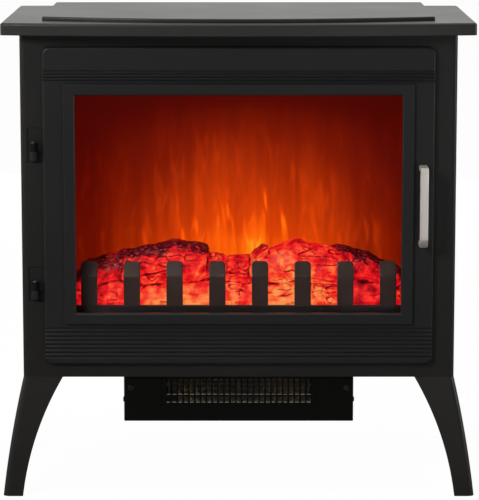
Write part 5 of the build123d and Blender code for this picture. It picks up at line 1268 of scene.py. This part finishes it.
@dataclass(frozen=True)
class Mound:
    """The heap of embers under the logs: a closed block with a rounded, uneven top, sizes in mm."""

    columns: int = 60
    rows: int = 16
    inset: float = 1.5
    foot: float = 0.2
    rim: float = 4.0
    crown: float = 36.0
    fullness: float = 0.75
    # Part of a half wave that the top follows from the front to the back.
    wave_start: float = 0.04
    wave_length: float = 0.84
    lump: float = 3.5
    lump_size: Pair = (22.0, 14.0)
    lump_slice: float = 3.0
    end_share: float = 0.05
    end_height: float = 0.6

    def draw(self, raw: WorkMesh, low: Vector, high: Vector) -> None:
        """Adds the mound.

        Args:
            raw: The work mesh that gets it.
            low: Lowest corner of the CAD log bed.
            high: Highest corner of the CAD log bed.
        """
        depth = high.y - low.y - 2 * self.inset * MM
        width = high.x - low.x - 2 * self.inset * MM
        lump_x, lump_y = (size * MM for size in self.lump_size)
        top, bottom = [], []
        for u in (i / self.columns for i in range(self.columns + 1)):
            x = (u - 0.5) * width
            end = min(1.0, min(u, 1 - u) / self.end_share)
            top.append([])
            bottom.append([])
            for v in (j / self.rows for j in range(self.rows + 1)):
                y = low.y + self.inset * MM + v * depth
                wave = math.sin(math.pi * (self.wave_start + self.wave_length * v))
                rise = self.rim + self.crown * wave**self.fullness
                rise += self.lump * noise.noise(Vector((x / lump_x, y / lump_y, self.lump_slice)))
                rise *= self.end_height + (1 - self.end_height) * end
                top[-1].append(raw.verts.new((x, y, low.z + rise * MM)))
                bottom[-1].append(raw.verts.new((x, y, low.z + self.foot * MM)))
        front = [[line[0] for line in side] for side in (bottom, top)]
        back = [[line[-1] for line in side] for side in (top, bottom)]
        left, right = (top[0], bottom[0]), (bottom[-1], top[-1])
        for rows in (list(zip(*top)), bottom, front, back, left, right):
            bridge(raw, rows)


@dataclass(frozen=True)
class EmberRow:
    """Split embers along the front of the bed, sizes in mm, each drawn between two limits."""

    seed: int = 11
    count: int = 13
    first: float = 20.0
    half_length: Pair = (15.0, 24.0)
    half_depth: Pair = (8.0, 11.0)
    half_height: Pair = (8.0, 12.0)
    shift: Pair = (-4.0, 4.0)
    setback: Pair = (0.6, 4.0)
    height: Pair = (6.0, 10.0)
    tilt: Pair = (-0.25, 0.25)
    squareness: float = 0.35
    least_height: float = 0.5
    inset: float = 1.5

    def draw(self, raw: WorkMesh, low: Vector, high: Vector) -> None:
        """Adds the embers.

        Args:
            raw: The work mesh that gets them.
            low: Lowest corner of the CAD log bed.
            high: Highest corner of the CAD log bed.
        """
        rng = np.random.default_rng(self.seed)
        pitch = (high.x - low.x - 2 * self.first * MM) / (self.count - 1)
        left, right = low.x + self.inset * MM, high.x - self.inset * MM
        for i in range(self.count):
            sizes = (self.half_length, self.half_depth, self.half_height)
            length, depth, height = (rng.uniform(*limits) * MM for limits in sizes)
            x = low.x + self.first * MM + i * pitch + rng.uniform(*self.shift) * MM
            y = low.y + depth + rng.uniform(*self.setback) * MM
            middle = Vector((x, y, low.z + rng.uniform(*self.height) * MM))
            tilt = rng.uniform(*self.tilt)
            for vert in bmesh.ops.create_icosphere(raw, subdivisions=3, radius=1.0)["verts"]:
                square = vert.co / max(abs(c) for c in vert.co)
                shape = vert.co.lerp(square, self.squareness)
                lean = shape.x * length * tilt
                vert.co = middle + Vector((shape.x * length, shape.y * depth, shape.z * height + lean))
                vert.co.z = max(vert.co.z, low.z + self.least_height * MM)
                vert.co.x = min(max(vert.co.x, left), right)


@dataclass(frozen=True)
class Bark:
    """Relief of moulded bark, sizes and depths in mm: fissures along and across, lumps and grain.

    A pair of sizes is the length along the log and the width round it.
    """

    # Without a seed of its own, the vector noise would change from run to run.
    seed: int = 11
    rise: float = 0.5
    warp_size: float = 15.0
    warp: float = 4.5
    long_size: Pair = (38.0, 9.0)
    long_depth: float = 2.6
    long_width: float = 0.11
    cross_size: Pair = (14.0, 16.0)
    cross_depth: float = 1.5
    cross_width: float = 0.06
    # Where the fissures open: patches, and how far a patch opens them.
    patch_size: float = 24.0
    patch_start: Pair = (4.0, 9.0)
    patch_level: float = 0.35
    patch_swing: float = 1.6
    patch_most: float = 1.2
    lump_size: float = 10.0
    lump: float = 1.5
    grain_size: Pair = (6.5, 3.2)
    grain_bare: float = 0.34
    grain_painted: float = 0.86
    grain_layers: Layers = (0.7, 2.1, 4)

    def height(self, place: Vector, seed: float, rough: float) -> float:
        """Gives the height of the bark at a place.

        Args:
            place: X, setback and height, in mm.
            seed: A number that sets the logs apart.
            rough: How coarse the grain is, from 0 on bare embers to 1 on painted bark.

        Returns:
            The height in mm.
        """
        long_x, long_r = self.long_size
        cross_x, cross_r = self.cross_size
        grain_x, grain_r = self.grain_size
        x, y, z = place + noise.noise_vector(place / self.warp_size) * self.warp
        along = abs(noise.noise(Vector((x / long_x + seed, y / long_r, z / long_r))))
        across = abs(noise.noise(Vector((x / cross_x, y / cross_r, z / cross_r + seed))))
        patch = noise.noise(place / self.patch_size + Vector((seed, *self.patch_start)))
        opened = min(max(0.0, self.patch_level + self.patch_swing * patch), self.patch_most)
        fissures = self.long_depth * max(0.0, 1 - along / self.long_width)
        fissures += self.cross_depth * max(0.0, 1 - across / self.cross_width)
        lump = self.lump * noise.noise(place / self.lump_size)
        spot = Vector((place.x / grain_x, place.y / grain_r, place.z / grain_r))
        coarse = self.grain_bare + self.grain_painted * rough
        grain = coarse * noise.fractal(spot, *self.grain_layers)
        return self.rise - opened * fissures + lump + grain


@dataclass
class LogBed:
    """The lit log bed: five logs, two stubs, a mound and a row of embers, cast as one piece of resin."""

    logs: tuple[LogForm, ...] = (
        LogForm(((-193, 25, 30, 17), (-176, 35, 32, 21), (-118, 49, 38, 21)), 1.0, 0.0, 0.42),
        LogForm(((-136, 45, 27, 22), (-78, 53, 31, 26), (-36, 52, 34, 24)), 1.0, 0.36, 0.58),
        LogForm(((-46, 46, 33, 19), (-15, 45, 35, 18)), 0.35, 0.62, 0.66),
        LogForm(((-58, 38, 50, 16), (-6, 42, 50, 16), (46, 44, 50, 17)), 0.25, 0.70, 0.60),
        LogForm(((15, 52, 42, 12), (28, 58, 42, 14), (43, 53, 42, 12)), 0.75, 0.62, 0.55),
        LogForm(((14, 40, 36, 21), (66, 54, 32, 27), (132, 43, 28, 22)), 0.20, 0.85, 0.62),
        LogForm(
            ((98, 50, 38, 18), (118, 52, 36, 21), (150, 44, 36, 21), (193, 28, 32, 17)), 1.0, 0.28, 0.40
        ),
    )
    skin: LogSkin = LogSkin()
    mound: Mound = Mound()
    embers: EmberRow = EmberRow()
    bark: Bark = Bark()
    # Lamps under the bed: place along X, spread and reach upwards in mm, and power.
    lamps: tuple[Quad, ...] = ((-72.0, 58.0, 46.0, 0.56), (58.0, 46.0, 84.0, 0.58))
    voxel_mm: float = 1.2
    margin_mm: float = 0.2
    # How far a log's paint and full relief reach beyond its skin, and where relief is full above the floor.
    skin_mm: float = 4.0
    foot_mm: float = 6.0
    bark_on_mound: float = 0.45
    # What the bark's seed grows by from one log to the next.
    bark_step: float = 7.0
    paint_patch_mm: float = 9.0
    paint_layers: Layers = (0.8, 2.1, 3)
    paint_ragged: float = 0.28
    paint_edge: float = 0.2
    glow_least: float = 0.15
    glow_warm: float = 0.55
    glow_fall: float = 0.2
    glow_relief: float = 0.22
    hollow_mm: float = 0.5
    crack_mm: float = 0.6
    crack_start: float = 1.15
    smoothing_rounds: int = 14

    def build(self, shop: Workshop) -> None:
        """Builds the bed and its glow.

        Args:
            shop: The workshop.
        """
        noise.seed_set(self.bark.seed)
        low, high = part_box("log_bed")
        raw = bmesh.new()
        for form in self.logs:
            self.skin.draw(raw, form, low)
        self.mound.draw(raw, low, high)
        self.embers.draw(raw, low, high)
        obj = to_object("log_bed_raw", raw)
        fuse = obj.modifiers.new("fuse", "REMESH")
        fuse.mode = "VOXEL"
        fuse.voxel_size = self.voxel_mm * MM
        bed = settle(obj, "log_bed_moulding")
        self.carve(bed.data, low, high)
        bed.data.shade_smooth()
        shop.place(bed, EMBER, Body.CASING, Slot.LOGS, "log_bed")

    def carve(self, mesh: bpy.types.Mesh, low: Vector, high: Vector) -> None:
        """Carves bark into the fused bed and stores its glow, char and crack.

        Args:
            mesh: The fused bed, changed in place.
            low: Lowest corner of the CAD log bed.
            high: Highest corner of the CAD log bed.
        """
        points = self.read(mesh, "co")
        x = points[:, 0] / MM
        setback = (points[:, 1] - low.y) / MM
        height = (points[:, 2] - low.z) / MM
        nearest, gap, up = self.nearest_log(x, setback, height)
        char, start, warmth = (
            np.array([getattr(form, name) for form in self.logs])[nearest]
            for name in ("char", "char_from", "warmth")
        )
        places = [Vector(place) for place in zip(x, setback, height)]
        size, layers = self.paint_patch_mm, self.paint_layers
        patch = np.array([noise.fractal(place / size, *layers) for place in places])
        on_log = np.clip(1.0 - gap / self.skin_mm, 0.0, 1.0)
        cover = (up + self.paint_ragged * patch - start) / self.paint_edge
        dark = char * on_log * np.clip(cover, 0.0, 1.0)
        bark = np.array(
            [
                self.bark.height(place, self.bark_step * number, rough)
                for place, number, rough in zip(places, nearest, dark)
            ]
        )
        depth = bark * (self.bark_on_mound + (1 - self.bark_on_mound) * on_log)
        depth *= np.clip(height / self.foot_mm, 0.0, 1.0)
        moved = points + self.read(mesh, "normal") * (depth * MM)[:, None]
        margin = self.margin_mm * MM
        moved[:, 0] = np.clip(moved[:, 0], low.x + margin, high.x - margin)
        moved[:, 1] = np.clip(moved[:, 1], low.y + margin, high.y - margin)
        moved[:, 2] = np.maximum(moved[:, 2], low.z)
        mesh.vertices.foreach_set("co", moved.astype(np.float32).ravel())
        mesh.update()
        hollow = self.hollows(mesh)
        glow = self.glow_least + self.glow_warm * warmth * (1.0 - self.glow_fall * np.clip(up, 0.0, 1.0))
        for middle, spread, reach, power in self.lamps:
            fall = np.clip(1.0 - height / reach, 0.0, 1.0)
            glow += power * np.exp(-(((x - middle) / spread) ** 2)) * fall
        glow -= self.glow_relief * np.clip(hollow / self.hollow_mm, -1.0, 1.0)
        crack = self.crack_start - hollow / self.crack_mm
        for name, values in (("glow", glow), ("char", dark), ("crack", crack)):
            attribute = mesh.attributes.new(name, "FLOAT", "POINT")
            attribute.data.foreach_set("value", np.clip(values, 0.0, 1.0).astype(np.float32))

    def read(self, mesh: bpy.types.Mesh, name: str) -> np.ndarray:
        """Reads a vector of every vertex.

        Args:
            mesh: The mesh.
            name: The vector's name, such as co for the place.

        Returns:
            One row for each vertex.
        """
        values = np.zeros(len(mesh.vertices) * 3)
        mesh.vertices.foreach_get(name, values)
        return values.reshape(-1, 3)

    def hollows(self, mesh: bpy.types.Mesh) -> np.ndarray:
        """Finds how far each vertex lies below the smoothed surface.

        Args:
            mesh: The carved bed.

        Returns:
            Depths in mm, negative on a ridge.
        """
        points = self.read(mesh, "co")
        ends = np.zeros(len(mesh.edges) * 2, dtype=np.int32)
        mesh.edges.foreach_get("vertices", ends)
        one, other = ends[0::2], ends[1::2]
        start, goal = np.concatenate((one, other)), np.concatenate((other, one))
        count = len(points)
        valence = np.maximum(np.bincount(start, minlength=count), 1)
        smooth = points
        for _ in range(self.smoothing_rounds):
            sums = [np.bincount(start, smooth[goal, axis], count) for axis in range(3)]
            smooth = 0.5 * smooth + 0.5 * np.stack(sums, axis=1) / valence[:, None]
        return ((smooth - points) * self.read(mesh, "normal")).sum(axis=1) / MM

    def nearest_log(
        self, x: np.ndarray, setback: np.ndarray, height: np.ndarray
    ) -> tuple[np.ndarray, np.ndarray, np.ndarray]:
        """Finds the log that each point belongs to.

        Args:
            x: Places along X, in mm.
            setback: Places behind the bed's front, in mm.
            height: Heights above the floor, in mm.

        Returns:
            The log's number, the point's distance from its skin in mm, and how far up its side
            the point lies, from 0 at the front to 1 at the top.
        """
        gaps, ups = [], []
        for form in self.logs:
            middle, behind, radius = form.at(x)
            beyond = np.maximum(form.stations[0][0] - x, x - form.stations[-1][0])
            around = np.hypot(setback - behind, height - middle)
            gaps.append(np.maximum(around - radius, 0.0) + np.maximum(beyond, 0.0))
            angle = np.arctan2(height - middle, behind - setback)
            ups.append(np.clip(angle / (math.pi / 2), -1.0, 2.0))
        nearest = np.argmin(np.array(gaps), axis=0)
        pick = np.arange(len(x))
        return nearest, np.array(gaps)[nearest, pick], np.array(ups)[nearest, pick]


@dataclass
class Firebox:
    """What is behind the glass: lining, flame screen, grate, logs, lamps and the flame spindle."""

    walls: tuple[str, ...] = ("firebox_wall_left", "firebox_wall_right", "firebox_ceiling", "firebox_floor")
    boards: tuple[str, ...] = ("ember_led_board", "flame_led_board")
    grate: Grate = field(default_factory=Grate)
    log_bed: LogBed = field(default_factory=LogBed)

    def build(self, shop: Workshop) -> None:
        """Dresses the lining and builds the grate and the log bed.

        Args:
            shop: The workshop.
        """
        shop.dress_nodes(
            {
                LINING_PAINT: self.walls,
                BOARD: self.boards,
                FLAMES: ("flame_screen",),
                FOIL: ("flame_spindle",),
                ZINC: ("spindle_brackets",),
                MOTOR: ("spindle_motor",),
            }
        )
        self.grate.build(shop)
        self.log_bed.build(shop)


@dataclass
class HeatingCoil:
    """The element: one long coil of resistance wire that zigzags between the mica strips."""

    runs: int = 24
    coil_radius_mm: float = 1.15
    # A real coil has about two turns to the millimetre, which is too fine to show.
    turn_mm: float = 1.7
    wire_mm: float = 0.55
    wire_sides: int = 5
    points_per_turn: int = 9
    margin_mm: float = 1.0
    end_mm: float = 0.6

    def build(self, shop: Workshop) -> None:
        """Builds the coil in place of the CAD wire.

        Args:
            shop: The workshop.
        """
        points = self.path(*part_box("heating_wire"))
        base = bpy.data.meshes.new("heating_coil_path")
        base.from_pydata(points, [(i, i + 1) for i in range(len(points) - 1)], [])
        values = {"Wire": self.wire_mm * MM, "Sides": self.wire_sides}
        coil = shop.grow("heating_coil", shop.wire, WIRE, values, base)
        shop.place(coil, WIRE, Body.CASING, Slot.WIRE, "heating_wire")

    def path(self, low: Vector, high: Vector) -> list[Triple]:
        """Works out the coil's centreline.

        Args:
            low: Lowest corner of the CAD wire.
            high: Highest corner of the CAD wire.

        Returns:
            Points along the coil.
        """
        margin, end, turn_length = self.margin_mm * MM, self.end_mm * MM, self.turn_mm * MM
        pitch = (high.x - low.x - 2 * end) / (self.runs - 1)
        bend = pitch / 2
        bottom, top = low.z + margin + bend, high.z - margin - bend
        straight, arc = top - bottom, math.pi * bend
        total = self.runs * straight + (self.runs - 1) * arc
        steps = int(total / turn_length * self.points_per_turn)
        middle_y = (low.y + high.y) / 2
        depthwise = Vector((0.0, 1.0, 0.0))
        points = []
        for i in range(steps + 1):
            travelled = total * i / steps
            run = min(int(travelled / (straight + arc)), self.runs - 1)
            into = travelled - run * (straight + arc)
            upward = 1.0 if run % 2 == 0 else -1.0
            here = low.x + end + run * pitch
            if into <= straight:
                spot = Vector((here, middle_y, bottom + into if upward > 0 else top - into))
                ahead = Vector((0.0, 0.0, upward))
            else:
                turn = (into - straight) / bend
                pivot = Vector((here + bend, middle_y, top if upward > 0 else bottom))
                spot = pivot + bend * Vector((-math.cos(turn), 0.0, upward * math.sin(turn)))
                ahead = Vector((math.sin(turn), 0.0, upward * math.cos(turn)))
            phase = 2 * math.pi * travelled / turn_length
            round_it = math.cos(phase) * depthwise + math.sin(phase) * ahead.cross(depthwise)
            points.append(tuple(spot + self.coil_radius_mm * MM * round_it))
        return points


@dataclass
class GuardLips:
    """The rolled lower lip of each slot in the outlet guard, in a pale tone that paints the glint of light
    on the slot edges.
    """

    count: int = 25
    pitch_mm: float = 6.8
    length_mm: float = 4.4
    height_mm: float = 0.8
    reach_mm: float = 1.0
    edge_mm: float = 0.25
    rises_mm: Pair = (11.0, 20.4)
    # How far a lip's middle lies out from the guard and below its row, as a share of its size.
    offset_share: float = 0.4

    def build(self, shop: Workshop) -> None:
        """Builds both rows of lips on the face of the guard.

        Args:
            shop: The workshop.
        """
        low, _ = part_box("outlet_guard")
        size = (self.length_mm * MM, self.reach_mm * MM, self.height_mm * MM)
        out, below = self.offset_share * self.reach_mm, self.offset_share * self.height_mm
        middles = [(0.0, low.y - out * MM, low.z + (rise - below) * MM) for rise in self.rises_mm]
        lip = blocks("guard_lip", self.edge_mm, *((middle, size) for middle in middles))
        values = {"Piece": lip, "Count": self.count, "Pitch": self.pitch_mm * MM}
        # The lips' pale tone is a painted glint of light on the slot edges.
        row = shop.grow("outlet_guard_lips", shop.row, LIP_STEEL_PAINTED_GLINT, values)
        bpy.data.objects.remove(lip)
        shop.place(row, LIP_STEEL_PAINTED_GLINT, Body.CASING, Slot.GUARD)


@dataclass
class Heater:
    """The fan heater box under the casing."""

    sheets: tuple[str, ...] = ("heater_box", "outlet_guard")
    screws: ScrewSet = ScrewSet("heater_box_screws")
    coil: HeatingCoil = field(default_factory=HeatingCoil)
    lips: GuardLips = field(default_factory=GuardLips)

    def build(self, shop: Workshop) -> None:
        """Dresses the heater, sets its screws and builds its element and the guard's lips.

        Args:
            shop: The workshop.
        """
        shop.dress_nodes(
            {
                HEATER_PAINT: self.sheets,
                MICA: ("element_frame",),
                ALUMINIUM: ("fan_rotor",),
                ZINC: ("fan_scroll",),
                BRASS: ("fan_bush",),
                MOTOR: ("fan_motor",),
                ABS: ("thermal_cutout",),
            }
        )
        for piece in (self.screws, self.coil, self.lips):
            piece.build(shop)


@dataclass
class Controls:
    """The switches and the thermostat behind the lower part of the door."""

    rockers: tuple[tuple[str, Body, Finish], ...] = (
        ("rocker_power", Body.ROCKER_POWER, ROCKER_RED),
        ("rocker_low_heat", Body.ROCKER_LOW, ABS),
        ("rocker_high_heat", Body.ROCKER_HIGH, ABS),
    )
    key_edge_mm: float = 0.5
    key_edge_deg: float = 40.0
    key_flat_deg: float = 1.0
    mark_count: int = 11
    mark_radius_mm: float = 17.2
    scale_start_deg: float = -45.0
    scale_sweep_deg: float = 270.0
    ink_mm: float = 0.12
    pointer_mm: Triple = (1.4, 0.4, 6.4)
    pointer_sunk_mm: float = 0.35
    pointer_edge_mm: float = 0.08

    def build(self, shop: Workshop) -> None:
        """Dresses the panel, rounds the keys, and prints the scale and the pointer.

        Args:
            shop: The workshop.
        """
        shop.dress_nodes(
            {
                CASING_PAINT: ("control_panel",),
                ABS: ("switch_housings", "thermostat_body"),
                KNOB_ABS: ("thermostat_knob",),
            }
        )
        for node, body, finish in self.rockers:
            shop.place(self.key(shop.nodes[node]), finish, body, Slot.KEYS, node)
        low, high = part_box("thermostat_knob")
        self.print_scale(shop, (low + high) / 2)
        self.print_pointer(shop, low, high)

    def key(self, node: Piece) -> Piece:
        """Copies a rocker's CAD node with its sharp edges rounded.

        Args:
            node: The CAD node.

        Returns:
            The rounded copy as a plain mesh.
        """
        raw = welded(node)
        flat = math.radians(self.key_flat_deg)
        bmesh.ops.dissolve_limit(raw, angle_limit=flat, verts=raw.verts, edges=raw.edges)
        sharp = to_object(node.name + "_sharp", raw)
        rounded(sharp, self.key_edge_mm, segments=3, angle_deg=self.key_edge_deg)
        return settle(sharp, node.name + "_key")

    def print_scale(self, shop: Workshop, middle: Vector) -> None:
        """Prints plain marks on the panel round the knob.

        Args:
            shop: The workshop.
            middle: The knob's middle.
        """
        face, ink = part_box("control_panel")[0].y, self.ink_mm * MM
        values = {
            "Count": self.mark_count,
            "Radius": self.mark_radius_mm * MM,
            "Start": math.radians(self.scale_start_deg),
            "Sweep": math.radians(self.scale_sweep_deg),
            "Film": ink,
            "Middle": (middle.x, face - ink / 2, middle.z),
        }
        marks = shop.grow("thermostat_scale", shop.dial, INK, values)
        shop.place(marks, INK, Body.CASING, None)

    def print_pointer(self, shop: Workshop, low: Vector, high: Vector) -> None:
        """Fills the knob's pointer groove with white.

        Args:
            shop: The workshop.
            low: Lowest corner of the knob.
            high: Highest corner of the knob.
        """
        middle = (low + high) / 2
        half_up = (high.z - low.z) / 4
        place = (middle.x, low.y + self.pointer_sunk_mm * MM, middle.z + half_up)
        size = tuple(side * MM for side in self.pointer_mm)
        pointer = blocks("knob_pointer", self.pointer_edge_mm, (place, size))
        shop.place(pointer, INK, Body.KNOB, None)


@dataclass(frozen=True)
class SoftLight:
    """One studio softbox."""

    name: str
    place: Triple
    target: Triple
    size: Pair
    power: float

    def build(self) -> None:
        """Adds the lamp, aimed at its target."""
        data = bpy.data.lights.new(self.name, "AREA")
        data.shape = "RECTANGLE"
        data.size, data.size_y = self.size
        data.energy = self.power
        lamp = link(self.name, data)
        lamp.location = self.place
        aim = Vector(self.target) - Vector(self.place)
        lamp.rotation_euler = aim.to_track_quat("-Z", "Y").to_euler()


@dataclass
class Studio:
    """Pale floor, white surroundings, soft light and the camera."""

    focal_px: float = 2657.0
    camera_place: Triple = (0.001, -3.133, 0.785)
    camera_range: float = 200.0
    pitch_deg: float = 9.32
    ambient_colour: str = "#fbfaf8"
    # Directions along Y, -1 in front and 1 behind, between which the surroundings grow brighter.
    ambient_span: Pair = (-0.6, 0.9)
    ambient_level: Pair = (0.04, 1.0)
    floor_half: float = 30.0
    floor_drop_mm: float = 0.2
    lights: tuple[SoftLight, ...] = (
        SoftLight("key_softbox", (-1.35, -2.1, 1.45), (0.0, -0.1, 0.4), (0.7, 0.7), 56.0),
        SoftLight("fill_softbox", (1.8, -2.6, 1.2), (0.0, -0.1, 0.3), (1.2, 1.2), 2.0),
        SoftLight("top_softbox", (0.0, -0.3, 2.4), (0.0, 0.0, 0.3), (1.6, 1.2), 30.0),
        SoftLight("left_strip", (-2.3, -0.3, 0.8), (0.0, 0.0, 0.3), (0.5, 1.6), 12.0),
        SoftLight("right_strip", (2.3, -0.3, 0.8), (0.0, 0.0, 0.3), (0.5, 1.6), 24.0),
        SoftLight("back_softbox", (0.3, 2.6, 0.26), (0.0, 0.1, 0.26), (2.0, 0.46), 30.0),
        SoftLight("handle_card", (0.66, -2.5, 0.22), (0.2, -0.1, 0.35), (0.5, 0.5), 2.8),
    )

    def build(self) -> None:
        """Builds the studio and sets the scene's camera and view."""
        scene = bpy.context.scene
        scene.view_settings.view_transform = "Standard"
        scene.world = self.world()
        self.floor()
        for lamp in self.lights:
            lamp.build()
        data = bpy.data.cameras.new("photo_camera")
        data.sensor_width = SENSOR_MM
        data.lens = self.focal_px / IMAGE_LONG_SIDE * SENSOR_MM
        data.clip_end = self.camera_range
        camera = link("photo_camera", data)
        camera.location = self.camera_place
        camera.rotation_euler = (math.radians(90 - self.pitch_deg), 0.0, 0.0)
        scene.camera = camera

    def world(self) -> bpy.types.World:
        """Makes the surroundings: white to look at, a plain studio, brighter behind, otherwise.

        Returns:
            The world.
        """
        world = bpy.data.worlds.new("studio_world")
        world.use_nodes = True
        tree = world.node_tree
        tree.nodes.clear()
        direct, _ = sight_lines(tree)
        way = add(tree, "ShaderNodeTexCoord").outputs["Generated"]
        ahead = add(tree, SPLIT, (way,)).outputs["Y"]
        level = add(tree, RANGE, (ahead, *self.ambient_span, *self.ambient_level))
        plain = add(tree, BACKGROUND, (linear(self.ambient_colour), level))
        white = add(tree, BACKGROUND, (linear(WHITE), 1.0))
        mixed = add(tree, MIX_SHADER, (direct, plain, white))
        add(tree, "ShaderNodeOutputWorld", (mixed,))
        return world

    def floor(self) -> None:
        """Lays the floor, a hair below the feet."""
        raw = bmesh.new()
        bmesh.ops.create_grid(raw, x_segments=1, y_segments=1, size=self.floor_half)
        for vert in raw.verts:
            vert.co.z = -self.floor_drop_mm * MM
        floor = to_object("studio_floor", raw)
        floor.data.materials.append(FLOOR_PAINT.build())


def main() -> None:
    """Builds the sub-assemblies round the frame, then the studio."""
    logging.basicConfig(level=logging.INFO, format="%(name)s: %(message)s")
    for spare in list(bpy.data.objects):
        bpy.data.objects.remove(spare)
    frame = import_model()
    shop = Workshop(frame)
    for assembly in (Casing(), Door(), Firebox(), Heater(), Controls()):
        assembly.build(shop)
    Studio().build()


if __name__ == "__main__":
    main()
